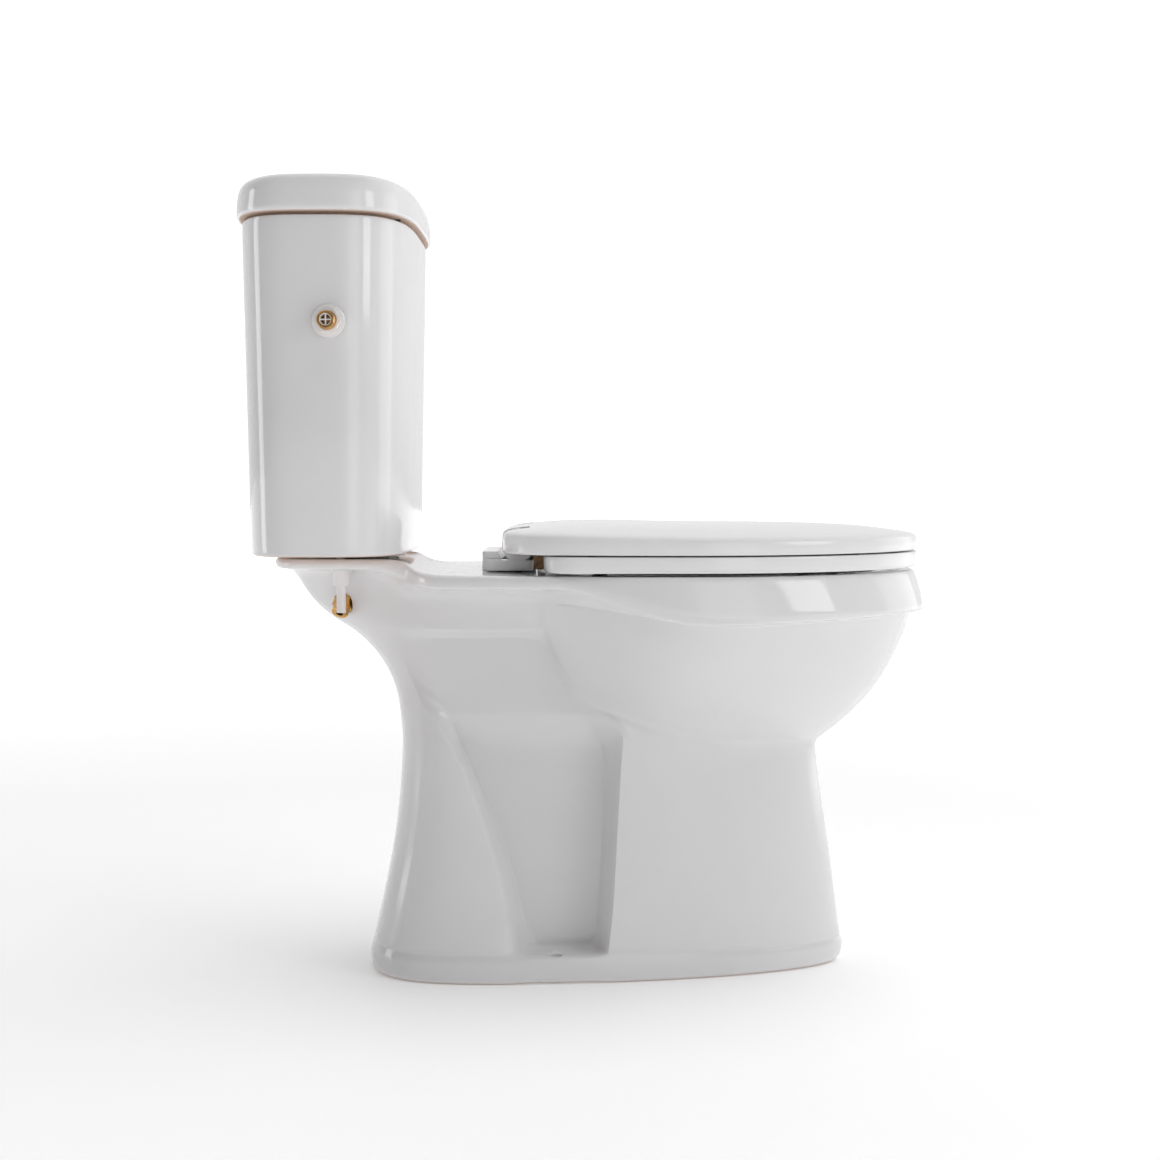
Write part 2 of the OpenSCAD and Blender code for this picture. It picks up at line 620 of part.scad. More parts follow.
// Pads on the cistern's rim that carry the lid, near its four corners
module cistern_lid_pads() {
    rim = tank_ring(tank_top, -(tank_wall + 2) / 2);
    color(rubber) for (i = [4, 20, 28, 44]) translate([rim[i][0], rim[i][1], tank_top])
        cylinder(r = 2.5, h = lid_gap);
}

module tank_gasket() {
    color(plastic) translate([flush_hole_x, 0, shelf_z]) tube(flush_recess_r + 7, flush_recess_r + 1, tank_gap);
}

bolt_top = tank_z + tank_floor + 9;
bolt_bottom = rim_z - 40;
module tank_bolts() {
    color(nylon) both_sides(tank_bolt_span / 2) translate([-tank_bolt_back, 0, 0]) {
        translate([0, 0, bolt_bottom]) cylinder(d = tank_bolt_d, h = bolt_top - bolt_bottom);
        translate([0, 0, bolt_top]) cylinder(r = 9, h = 4);
        translate([0, 0, bolt_top + 4]) hexagon(13, 4);
    }
}

module tank_bolt_washers() {
    color(rubber) both_sides(tank_bolt_span / 2) translate([-tank_bolt_back, 0, tank_z + tank_floor]) difference() {
        cylinder(r1 = 10, r2 = 12, h = 9);
        translate([0, 0, -1]) cylinder(d = tank_bolt_d + 0.6, h = 11);
    }
}

nut_top = shelf_z - shelf_t - under_drop - 0.1;
module tank_bolt_nuts() {
    color(nylon) both_sides(tank_bolt_span / 2) translate([-tank_bolt_back, 0, nut_top]) difference() {
        union() {
            translate([0, 0, -3]) cylinder(r = 10.5, h = 3);
            translate([0, 0, -16]) cylinder(r1 = 7.4, r2 = 8.2, h = 13);
        }
        translate([0, 0, -17]) cylinder(d = tank_bolt_d + 0.1, h = 18);
    }
}

// Flush valve

valve_floor = tank_z + tank_floor;
valve_bore_r = valve_hole_r - 7;
seat_top = valve_floor + 14;
cage_top = valve_floor + 170;
cage_r = valve_hole_r + 3;
head_h = 30;
head_top = cage_top + head_h;
leg_r = valve_hole_r - 2.5;
tube_r = 12;
rod_r = 3;
rod_spots = [-6, 13];
module flush_valve_body() {
    color(plastic) translate([flush_hole_x, 0, 0]) {
        translate([0, 0, tank_z - 20]) tube(valve_hole_r - 1, valve_bore_r, tank_floor + 20);
        translate([0, 0, valve_floor]) tube(valve_hole_r + 9, valve_bore_r, 4);
        translate([0, 0, valve_floor + 4]) tube(valve_hole_r - 2, valve_bore_r, seat_top - valve_floor - 4);
        for (a = [45:90:315]) rotate([0, 0, a]) translate([leg_r, -3, valve_floor + 2])
            cube([cage_r - 1 - leg_r, 6, cage_top - valve_floor - 1]);
        translate([0, 0, valve_floor + 88]) tube(cage_r, tube_r + 0.3, 6);
        translate([0, 0, cage_top]) cylinder(r = cage_r, h = head_h);
    }
}

module flush_valve_nut() {
    color(plastic) translate([flush_hole_x, 0, tank_z - flush_nut_h]) difference() {
        cylinder(r = flush_nut_r, h = flush_nut_h, $fn = 12);
        translate([0, 0, -1]) cylinder(r = valve_hole_r - 0.9, h = flush_nut_h + 2);
    }
}

piston_z = seat_top + 4;
piston_top = cage_top - piston_lift - 6;
module flush_valve_piston() {
    color(plastic) translate([flush_hole_x, 0, 0]) {
        translate([0, 0, piston_z]) tube(valve_hole_r - 8, tube_r - 3, 5);
        translate([0, 0, piston_z + 5]) tube(tube_r, tube_r - 3, piston_top - piston_z - 5);
        translate([0, 0, piston_top]) tube(tube_r + 4, tube_r - 3, 4);
    }
}

module flush_valve_seal() {
    color(rubber) translate([flush_hole_x, 0, seat_top]) tube(valve_hole_r - 4, tube_r, piston_z - seat_top);
}

// Push buttons in the lid

button_r = bezel_r - 5;
button_t = 4;
button_split = 5.4;
button_floor = 1.5;
bezel_h = button_floor + full_travel + 1.5;
collar_r = lid_hole_r - 1;
button_nut_h = 10;
button_nut_z = cover_z + lid_band_h - cover_t - 0.9 - button_nut_h;
module button_housing() {
    color(steel) translate([flush_hole_x, 0, 0]) difference() {
        union() {
            translate([0, 0, cover_top]) cylinder(r1 = bezel_r, r2 = bezel_r - 2, h = bezel_h);
            translate([0, 0, button_nut_z - 5]) cylinder(r = collar_r, h = cover_top - button_nut_z + 6);
        }
        translate([0, 0, cover_top + button_floor]) cylinder(r = button_r + 0.6, h = 20);
        translate([0, 0, button_nut_z - 6]) cylinder(r = collar_r - 3, h = 60);
    }
}

module button_nut() {
    color(plastic) translate([flush_hole_x, 0, button_nut_z]) difference() {
        cylinder(r = lid_hole_r + 9, h = button_nut_h, $fn = 12);
        translate([0, 0, -1]) cylinder(r = collar_r + 0.1, h = button_nut_h + 2);
    }
}

button_under = cover_top + button_floor + full_travel + 0.4;
button_gap = 0.8;
// The round button is split along X: the larger part for the full flush lies on the near side
module flush_button(from_y, to_y) {
    color(steel) translate([flush_hole_x, 0, button_under]) intersection() {
        cylinder(r = button_r, h = button_t);
        translate([-button_r, from_y, -1]) cube([2 * button_r, to_y - from_y, button_t + 2]);
    }
}

module full_flush_button() {
    flush_button(-button_r, button_split - button_gap / 2);
}

module half_flush_button() {
    flush_button(button_split + button_gap / 2, button_r);
}

// A pressed rod stops just above the head of the flush valve
rod_low = head_top + full_travel + 0.4;
module push_rod(y) {
    color(nylon) translate([flush_hole_x, y, rod_low]) cylinder(r = rod_r, h = button_under - rod_low);
}

module full_flush_rod() {
    push_rod(rod_spots[0]);
}

module half_flush_rod() {
    push_rod(rod_spots[1]);
}

// Water inlet and fill valve

wall_y = tank_half_w - tank_draw(inlet_z);
inlet_out = 22;
// The shank is thicker up to just beyond its nut, and the free end takes the hose
shank_r = inlet_r + 0.5;
shank_out = 9.8;
inlet_bore = inlet_r - 2.6;
module at_inlet(y) {
    translate([-inlet_back, -y, inlet_z]) to_side() children();
}

shank_in = 40;
washer_h = 4;
// The washer clears the wall at the edges of its flange, where the wall curves in
washer_y = min([for (s = [-1, 1]) tank_side(s * inlet_flange_r - inlet_back, inlet_z - inlet_flange_r, -tank_wall)])
    - washer_h - 0.4;
flange_t = 4;
module inlet_shank() {
    color(brass) difference() {
        union() {
            at_inlet(wall_y - shank_in) cylinder(r = shank_r, h = shank_in + shank_out);
            at_inlet(wall_y) cylinder(r = inlet_r, h = inlet_out - 2);
            at_inlet(wall_y + inlet_out - 2) cylinder(r1 = inlet_r, r2 = inlet_r - 1, h = 2);
            at_inlet(washer_y - flange_t) cylinder(r = inlet_flange_r, h = flange_t);
            at_inlet(washer_y - flange_t - 7) hexagon(2 * shank_r + 6, 7.5);
        }
        at_inlet(wall_y - shank_in + 12) cylinder(r = inlet_bore, h = 80);
    }
}

module inlet_insert() {
    color(nylon) at_inlet(wall_y + inlet_out - 9) {
        tube(inlet_bore - 0.05, inlet_bore - 0.9, 8);
        for (a = [0, 90]) rotate([0, 0, a]) translate([-inlet_bore + 0.5, -0.6, 0])
            cube([2 * inlet_bore - 1, 1.2, 7]);
    }
}

module inlet_nut() {
    color(nylon) at_inlet(wall_y + 0.3) difference() {
        union() {
            cylinder(r1 = inlet_flange_r, r2 = inlet_flange_r - 1, h = 3);
            translate([0, 0, 3]) hexagon(21, 6);
        }
        translate([0, 0, -1]) cylinder(r = shank_r + 0.05, h = 12);
    }
}

module inlet_washer() {
    color(rubber) at_inlet(washer_y) tube(inlet_flange_r, shank_r + 0.1, washer_h);
}

valve_len = 24;
valve_y = wall_y - shank_in - valve_len;
skirt = 16;
fork_in = 5;
fork_t = 4;
arm_y = -valve_y + 9;
float_pin_r = 2;
module float_pin_bore() {
    translate([-inlet_back - 20, arm_y, inlet_z]) rotate([0, 90, 0]) cylinder(r = float_pin_r + 0.05, h = 40);
}

module fill_valve_body() {
    color(plastic) difference() {
        union() {
            at_inlet(valve_y) cylinder(r = 11, h = valve_len);
            translate([-inlet_back, -valve_y - 12, inlet_z]) cylinder(r = 8, h = 18);
            translate([-inlet_back, -valve_y - 12, inlet_z - skirt]) cylinder(r = 9, h = skirt);
            for (x = [-fork_in - fork_t, fork_in]) translate([-inlet_back + x, -valve_y - 4, inlet_z - 5])
                cube([fork_t, 18, 10]);
        }
        float_pin_bore();
    }
}

module fill_tube() {
    color(nylon) translate([-inlet_back, -valve_y - 12, valve_floor + 60])
        tube(6, 4.4, inlet_z - skirt - valve_floor - 60);
}

arm_reach = 40;
arm_drop = 20;
stub = 6;
module float_arm() {
    color(nylon) difference() {
        translate([-inlet_back, arm_y, inlet_z]) {
            rotate([0, 90, 0]) translate([0, 0, -fork_in + 0.3]) cylinder(r = 5, h = 2 * fork_in - 0.6);
            aim([0, 2, -1], [0, arm_reach, -arm_drop]) cylinder(r = 2.5, h = norm([arm_reach - 2, arm_drop - 1]));
            translate([0, arm_reach, -arm_drop - stub]) cylinder(r = 5, h = stub + 3);
        }
        float_pin_bore();
    }
}

module float_arm_pin() {
    color(brass) translate([-inlet_back - fork_in - fork_t - 1, arm_y, inlet_z]) rotate([0, 90, 0])
        cylinder(r = float_pin_r, h = 2 * (fork_in + fork_t + 1));
}

float_r = 18;
float_h = 40;
module float() {
    color(plastic) translate([-inlet_back, arm_y + arm_reach, inlet_z - arm_drop - stub - float_h]) rotate_extrude()
        polygon([[0, 0], [float_r - 6, 0], [float_r, 5], [float_r, float_h - 7], [float_r - 8, float_h], [0, float_h]]);
}

// Bidet supply

module bidet_inlet() {
    color(brass) at_bidet() difference() {
        union() {
            translate([0, 0, -bidet_neck]) cylinder(r = bidet_neck_r, h = bidet_neck + 1);
            translate([0, 0, 0.1]) hexagon(bidet_hex, bidet_hex_h - 0.1);
            translate([0, 0, bidet_hex_h]) cylinder(r = bidet_r, h = bidet_free - 1);
            translate([0, 0, bidet_hex_h + bidet_free - 1]) cylinder(r1 = bidet_r, r2 = bidet_r - 1, h = 1);
        }
        translate([0, 0, -bidet_neck + 3]) cylinder(r = bidet_bore, h = 40);
    }
}

module bidet_pipe() {
    color(brass) aim(pipe_from, pipe_to) translate([0, 0, 9])
        cylinder(r = pipe_r, h = norm(pipe_to - pipe_from) - 9);
}

module bidet_nozzle() {
    color(steel) aim(pipe_from, pipe_to) translate([0, 0, norm(pipe_to - pipe_from)]) {
        cylinder(r = pipe_r, h = 18);
        translate([0, 0, 18]) cylinder(r1 = 5.5, r2 = 4, h = 12);
    }
}

// Seat

seat_n = 56;
seat_back_x = 55;
ring_rear_p = 12;
seat_mid = bowl_x;
lid_back_x = hinge_x - 17;
function seat_ring_row(z, d) =
    let (back = seat_mid - seat_back_x + d, front = seat_front - seat_mid + d)
    ring(seat_n, z, seat_mid, back, front, seat_half_w + d, ring_rear_p, 1.85);

hole_x = 225;
function hole_row(z, d) =
    ring(seat_n, z, hole_x, 116 - d, 140 - d, ring_hole_half_w - d, 2, 2);

module seat_ring() {
    top = ring_z + ring_t;
    color(plastic) hoop([
        hole_row(ring_z + 1, -1.5),
        seat_ring_row(ring_z, -2),
        seat_ring_row(ring_z + 2, 0),
        seat_ring_row(top - 1.2, 0),
        seat_ring_row(top, -1.2),
        hole_row(top, -16),
        hole_row(top - 3, -5),
        hole_row(ring_z + 5, 0)
    ]);
}

function seat_lid_row(z, d) =
    ring(seat_n, z, seat_mid, seat_mid - lid_back_x + d, seat_front - seat_mid + d, seat_half_w + d, 5, 1.85);

lid_t = 4;
lid_rim = 13;
lid_rear_rise = 5;
// The lid's upper edge rises a little towards the hinge
function lid_row(up, d) =
    [for (q = seat_lid_row(seat_lid_z, d)) let (rise = lid_rear_rise * smooth((seat_mid - q[0]) / 200))
        [q[0], q[1], seat_lid_z + up + rise]];

barrel_r = 16.5;
knuckle_y = hinge_span / 2;
knuckle_r = barrel_r - 0.5;
knuckle_half = 11;
base_half = 13;
arm_half = 5;
// The ring's arms stand outside the bases
hinge_arm_y = knuckle_y + base_half + arm_half + 2;
notch_r = barrel_r + 4.5;
notch_from = knuckle_y - base_half - 0.5;
notch_to = hinge_arm_y + arm_half + 1.5;
end_knuckle_r = 8;
end_knuckle = 14;

// A cylinder along the hinge axis from y_from to y_to
module on_axis(r, y_from, y_to) {
    translate([hinge_x, y_to, hinge_z]) rotate([90, 0, 0]) cylinder(r = r, h = y_to - y_from);
}

// The same on both sides of the seat
module on_axis_pair(r, y_from, y_to) {
    on_axis(r, y_from, y_to);
    on_axis(r, -y_to, -y_from);
}

module seat_lid() {
    crown = lid_side_h + seat_crown;
    color(plastic) difference() {
        union() {
            skin([
                lid_row(crown - lid_t - 4, -115),
                lid_row(lid_side_h + 0.55 * seat_crown - lid_t, -60),
                lid_row(lid_side_h - lid_t, -lid_rim - 4),
                seat_lid_row(seat_lid_z, -lid_rim),
                seat_lid_row(seat_lid_z, -1.2),
                seat_lid_row(seat_lid_z + 1.2, 0),
                lid_row(lid_side_h - 4, 0),
                lid_row(lid_side_h - 1, -1.5),
                lid_row(lid_side_h + 1.5, -7),
                lid_row(lid_side_h + 0.3 * seat_crown, -26),
                lid_row(lid_side_h + 0.62 * seat_crown, -60),
                lid_row(crown - 3, -115)
            ]);
            on_axis(barrel_r, -notch_from - 1, notch_from + 1);
            on_axis_pair(end_knuckle_r, notch_to - 1, notch_to + end_knuckle);
        }
        on_axis_pair(notch_r, notch_from, notch_to);
        on_axis(pin_r + 0.05, -notch_to - end_knuckle - 1, notch_to + end_knuckle + 1);
        translate([hinge_x - 40, -notch_from - 5, hinge_z - barrel_r - 9]) cube([80, 2 * notch_from + 10, 10]);
    }
}

base_h = 10;
base_back = hinge_x - 31;
base_front = hinge_x + 14;
washer_t = 1.5;
module hinge_bases() {
    color(plastic) difference() {
        union() {
            both_sides(knuckle_y) translate([base_back, -base_half, rim_z + washer_t])
                cube([base_front - base_back, 2 * base_half, base_h]);
            on_axis_pair(knuckle_r, knuckle_y - knuckle_half, knuckle_y + knuckle_half);
        }
        on_axis_pair(pin_r + 0.05, knuckle_y - 30, knuckle_y + 30);
        both_sides(knuckle_y) translate([hinge_bolt_x, 0, rim_z - 1])
            cylinder(r = hinge_bolt_r + 0.1, h = base_h + washer_t);
        both_sides(knuckle_y) translate([hinge_x - 30, -20, rim_z - 10]) cube([60, 40, 10 + washer_t]);
    }
}

housing_half = knuckle_y - base_half - 1;
housing_h = 18.7;
// Drawn as a profile from the side: a block behind the lid's barrel and a plate below it
module hinge_housing() {
    color(plastic) translate([hinge_x, housing_half, rim_z + 0.3]) rotate([90, 0, 0])
        linear_extrude(2 * housing_half)
            polygon([[-36, 0], [-36, housing_h], [-21, housing_h], [-16.5, housing_h - 7],
                [-16.5, 5.5], [11, 5.5], [11, 0]]);
}

pin_out = 9;
module hinge_pins() {
    color(bronze) on_axis_pair(pin_r, notch_from - pin_out, notch_to + pin_out);
}

module hinge_arms() {
    hub = 9;
    strap = 6;
    leg = 10;
    leg_z = ring_z - 1;
    color(bronze) difference() {
        union() {
            on_axis_pair(hub, hinge_arm_y - arm_half, hinge_arm_y + arm_half);
            both_sides(hinge_arm_y) translate([hinge_x, -arm_half, hinge_z - strap + 1])
                cube([seat_back_x - leg - hinge_x + 1, 2 * arm_half, strap]);
            both_sides(hinge_arm_y) translate([seat_back_x - leg, -arm_half, leg_z])
                cube([leg - 0.1, 2 * arm_half, hinge_z + 1 - leg_z]);
        }
        on_axis_pair(pin_r + 0.05, hinge_arm_y - 10, hinge_arm_y + 10);
    }
}

module hinge_bolts() {
    color(nylon) both_sides(knuckle_y) translate([hinge_bolt_x, 0, rim_z - plug_len])
        cylinder(r = hinge_bolt_r, h = plug_len + washer_t + base_h - 2);
}

// Rubber plugs that the hinge bolts spread in their blind holes
module hinge_plugs() {
    color(rubber) both_sides(knuckle_y) translate([hinge_bolt_x, 0, rim_z - plug_len])
        tube(plug_r, hinge_bolt_r + 0.1, plug_len);
}

module hinge_washers() {
    color(rubber) both_sides(knuckle_y) translate([hinge_bolt_x, 0, rim_z]) tube(12, hinge_bolt_r + 0.2, washer_t);
}

bumper_gap = 0.3;
module ring_bumpers() {
    color(rubber) for (p = [[110, 142], [330, 118]]) both_sides(p[1])
        translate([p[0], 0, rim_z + bumper_gap]) cylinder(r1 = 6, r2 = 7, h = seat_gap - bumper_gap + 0.2);
}

module lid_bumpers() {
    row = seat_lid_row(seat_lid_z, -lid_rim / 2 - 1);
    color(rubber) for (i = [12, 21, 35, 44]) translate([row[i][0], row[i][1], ring_z + ring_t + bumper_gap])
        cylinder(r = 4, h = seat_lid_gap - bumper_gap);
}

pan();
cistern();
cistern_lid();
cistern_lid_pads();
tank_gasket();
tank_bolts();
tank_bolt_washers();
tank_bolt_nuts();
flush_valve_body();
flush_valve_nut();
flush_valve_piston();
flush_valve_seal();
button_housing();
button_nut();
full_flush_button();
half_flush_button();
full_flush_rod();
half_flush_rod();
inlet_shank();
inlet_insert();
inlet_nut();
inlet_washer();
fill_valve_body();
fill_tube();
float_arm();
float();
float_arm_pin();
bidet_inlet();
bidet_pipe();
bidet_nozzle();
seat_ring();
seat_lid();
hinge_bases();
hinge_housing();
hinge_pins();
hinge_arms();
hinge_bolts();
hinge_plugs();
hinge_washers();
ring_bumpers();
lid_bumpers();
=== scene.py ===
"""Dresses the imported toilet: smooth glazed china, moulded seat, brass and nylon fittings, studio light.

Sizes are in millimetres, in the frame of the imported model. Meshes are scaled to metres as they are made.
"""
import json
import math

import bmesh
import bpy
import numpy as np
from mathutils import Matrix, Vector


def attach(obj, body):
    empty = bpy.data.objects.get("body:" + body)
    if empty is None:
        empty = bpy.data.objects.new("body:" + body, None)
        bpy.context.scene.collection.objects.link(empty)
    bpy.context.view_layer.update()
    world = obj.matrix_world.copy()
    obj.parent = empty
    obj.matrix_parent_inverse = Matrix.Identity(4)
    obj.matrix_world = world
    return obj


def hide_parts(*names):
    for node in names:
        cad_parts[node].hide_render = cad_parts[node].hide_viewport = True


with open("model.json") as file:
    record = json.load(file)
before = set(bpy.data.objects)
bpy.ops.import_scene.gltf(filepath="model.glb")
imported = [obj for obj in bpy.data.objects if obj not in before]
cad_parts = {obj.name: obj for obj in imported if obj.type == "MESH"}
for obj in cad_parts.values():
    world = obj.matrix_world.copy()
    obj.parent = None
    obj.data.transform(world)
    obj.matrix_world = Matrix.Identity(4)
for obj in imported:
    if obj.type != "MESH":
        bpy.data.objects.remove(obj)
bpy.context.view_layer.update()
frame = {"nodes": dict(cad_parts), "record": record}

MM = 0.001

# Driving sizes of the pan, the same as in the part's source
RIM_Z = 402
RIM_FRONT = 430
RIM_HALF_W = 182
BAND_H = 41
BAND_FLARE = 11
DECK_T = 14
LIP_FRONT_W = 45
OPENING_HALF_W = 128
CHINA_T = 12
FOOT_FRONT = 358
FOOT_REAR = 126
FOOT_HALF_W = 107.5
LEDGE_Z = 27
RECESS_LOW_Y = 62
RECESS_HIGH_Y = 78
SHELF_Z = RIM_Z + 13
SHELF_REAR = 216
SHELF_HALF_W = 103
SHELF_T = 10
OUTLET_R = 50
OUTLET_BORE_R = 41
OUTLET_LEN = 45
TRAP_R = 26
TRAP_WALL = 9
# Floor screw hole: x, y and radius
FLOOR_HOLE = (66, 92, 6)
# Height of the ridge between the two levels of the side recess
RIDGE_Z = 262

# Tank and its lid
TANK_Z = SHELF_Z + 5
TANK_FRONT = 70
TANK_DEPTH = 165
TANK_HALF_W = 190
TANK_H = 314
TANK_TAPER = 6
TANK_WALL = 9
TANK_POWERS = (3.5, 3.5)
TANK_N = 48
TANK_FLOOR = 12
TANK_TOP = TANK_Z + TANK_H
TANK_MID = -TANK_FRONT - TANK_DEPTH / 2
# Tank bolt's hole: x, y and radius
TANK_BOLT = (-143, 80, 6)
COVER_Z = TANK_TOP + 3
COVER_BAND = 33
COVER_CROWN = 5
COVER_OVER = 5
COVER_T = 10
COVER_TOP = COVER_Z + COVER_BAND + COVER_CROWN
FLUSH_X = -140
VALVE_HOLE_R = 32
LID_HOLE_R = 22
FLUSH_RECESS_R = 46.5
FLUSH_RECESS_DEPTH = 13
FLUSH_HOLE_R = 35
DUCT_MOUTH_R = 19

# Water connections
INLET_X = -140
INLET_Z = TANK_Z + 217
INLET_R = 8.33
SHANK_R = INLET_R + 0.5
BIDET_X = -144
BIDET_Z = RIM_Z - 32.5
BIDET_TURN = 20
BIDET_DIP = 50
BIDET_R = 8.33
BIDET_SUNK = 5.5
BIDET_SEAT_R = 10.4

# Seat
SEAT_MID = 200
SEAT_FRONT = 431
SEAT_HALF_W = 180
SEAT_BACK_X = 55
# Points round an outline, and its powers at the front, at the ring's rear and at the lid's rear
SEAT_N = 56
SEAT_FRONT_POWER = 1.85
RING_REAR_POWER = 12
LID_REAR_POWER = 5
# Hole of the ring
HOLE_X = 225
HOLE_BACK = 116
HOLE_FRONT = 140
HOLE_HALF_W = 112
RING_Z = RIM_Z + 4.5
RING_T = 14
LID_Z = RING_Z + RING_T + 2.3
LID_SIDE_H = 14.5
LID_CROWN = 14
# How far the moulded edges hang below the plain solids
RING_HANG = 1.8
LID_HANG = 1.2
# How much the lid's upper edge rises towards the hinge, over the last stretch
LID_REAR_RISE = 5
LID_RISE_RUN = 200
HINGE_X = 30
HINGE_Z = RIM_Z + 26
LID_BACK_X = HINGE_X - 17
# Barrel of the lid, its notches round the hinge bases, and its end knuckles
BARREL_R = 16.5
NOTCH_R = BARREL_R + 4.5
NOTCH_FROM = 61.5
NOTCH_TO = 101.5
END_KNUCKLE_R = 8
END_KNUCKLE = 14
PIN_BORE_R = 4.05
# Hole for the plug of a hinge bolt: x, y and radius, and its depth
HINGE_PLUG = (HINGE_X - 9, 75, 7.6)
HINGE_PLUG_DEPTH = 38


# Curves

def lookup(v, table):
    """The table's value at v, straight between its points."""
    keys, values = zip(*table)
    return float(np.interp(v, keys, values))


def superellipse(t, p):
    return max(0.0, 1 - min(1.0, abs(t)) ** p) ** (1 / p)


def mix(a, b, t):
    return a + (b - a) * t


def smooth(t):
    u = min(1.0, max(0.0, t))
    return u * u * (3 - 2 * u)


def plan_point(degrees, xc, ar, af, b, pr, pf):
    """A point of an outline: reach ar and power pr to the rear of xc, af and pf to its front, half width b."""
    c, s = math.cos(math.radians(degrees)), math.sin(math.radians(degrees))
    p = pr if c < 0 else pf
    x = xc + (-ar if c < 0 else af) * abs(c) ** (2 / p)
    return x, math.copysign(b * abs(s) ** (2 / p), s)


def ring(n, z, xc, ar, af, b, pr, pf):
    """n points round a plan outline, clockwise seen from above."""
    return [(*plan_point(180 - 360 * i / n, xc, ar, af, b, pr, pf), z) for i in range(n)]


def inset(row, d):
    """The ring moved in by d along its own normals."""
    n = len(row)
    out = []
    for i in range(n):
        a, b = row[i - 1], row[(i + 1) % n]
        tx, ty = b[0] - a[0], b[1] - a[1]
        length = math.hypot(tx, ty)
        out.append((row[i][0] + d * ty / length, row[i][1] - d * tx / length, row[i][2]))
    return out


# Pan: tables as in the part's source. Sides, widths, powers and rails go by height, crease and edges by x

REAR_SIDE = [
    (0, FOOT_REAR - 4), (8, FOOT_REAR), (19, FOOT_REAR - 1.5), (45, FOOT_REAR - 10), (90, FOOT_REAR - 19.5),
    (141, FOOT_REAR - 29.5), (190, FOOT_REAR - 34.5), (236, FOOT_REAR - 36.5),
    (RIM_Z - 120, SHELF_REAR - 121), (RIM_Z - 95, SHELF_REAR - 110), (RIM_Z - 77, SHELF_REAR - 96),
    (RIM_Z - 61, SHELF_REAR - 77), (RIM_Z - 54, SHELF_REAR - 62), (RIM_Z - 38, SHELF_REAR - 36),
    (RIM_Z - 23, SHELF_REAR - 25), (RIM_Z, SHELF_REAR - 15)]
NECK_Z = 228
FOOT_SIDE = [
    (0, FOOT_FRONT - 4), (10, FOOT_FRONT + 5), (22, FOOT_FRONT + 2), (39, FOOT_FRONT - 4),
    (76, FOOT_FRONT - 7), (128, FOOT_FRONT - 14.5), (185, FOOT_FRONT - 24), (219, FOOT_FRONT - 28),
    (NECK_Z, FOOT_FRONT - 28)]
BOWL_SIDE = [
    (NECK_Z, RIM_FRONT - 97), (RIM_Z - 164, RIM_FRONT - 82), (RIM_Z - 151, RIM_FRONT - 65),
    (RIM_Z - 128, RIM_FRONT - 44), (RIM_Z - 98, RIM_FRONT - 24), (RIM_Z - 61, RIM_FRONT - 9),
    (RIM_Z - BAND_H, RIM_FRONT - 3)]
FOOT_WIDTH = [
    (0, FOOT_HALF_W), (LEDGE_Z, FOOT_HALF_W - 1), (100, FOOT_HALF_W - 3.5), (260, FOOT_HALF_W - 7.5),
    (RIM_Z - 57, FOOT_HALF_W - 9.5), (RIM_Z - 12, FOOT_HALF_W - 10.5)]
BOWL_WIDTH = [
    (NECK_Z, RIM_HALF_W - 124), (RIM_Z - 165, RIM_HALF_W - 107), (RIM_Z - 154, RIM_HALF_W - 92),
    (RIM_Z - 143, RIM_HALF_W - 80), (RIM_Z - 128, RIM_HALF_W - 61), (RIM_Z - 98, RIM_HALF_W - 34),
    (RIM_Z - 61, RIM_HALF_W - 15), (RIM_Z - BAND_H, RIM_HALF_W - 9)]
BOWL_X = 200
BOWL_BACK = [(NECK_Z, 130), (RIM_Z - 138, 137), (RIM_Z - 114, 150), (RIM_Z - 66, 171), (RIM_Z, 179)]
REAR_POWER = [(0, 2.75), (250, 2.6), (RIM_Z - 57, 2), (RIM_Z - 12, 1.7)]
FRONT_POWER = 1.8

RECESS_TOP = RIM_Z - 58
RAIL_A = [
    (33, 24), (75, 20), (90, 15), (141, 2.5), (180, -11), (222, -29), (257, -53), (268, -62), (306, -79),
    (RECESS_TOP, -95), (RIM_Z - 14, -98)]
RAIL_B = [
    (0, 40), (30, 39.5), (85, 30.5), (110, 26), (154, 9), (198, -14), (262, -39), (RECESS_TOP - 5, -83),
    (RIM_Z - 14, -85)]
RAIL_C = [
    (0, 105), (34, 106), (127, 112), (219, 115), (238, 110), (259, 90), (RECESS_TOP - 4, 52),
    (RIM_Z - 14, 45)]
RAIL_D = [
    (0, 116), (29, 117), (68, 122), (223, 130), (250, 134), (257, 132), (264, 112), (288, 86), (336, 61),
    (RIM_Z - 14, 50)]
CREASE = [
    (117, 262), (136, 260), (167, 247), (207, 236.7), (255, 232), (319, 229), (RIM_FRONT - 97, NECK_Z)]
CREASE_GAP = 5
RAIL_MID_Z = 200

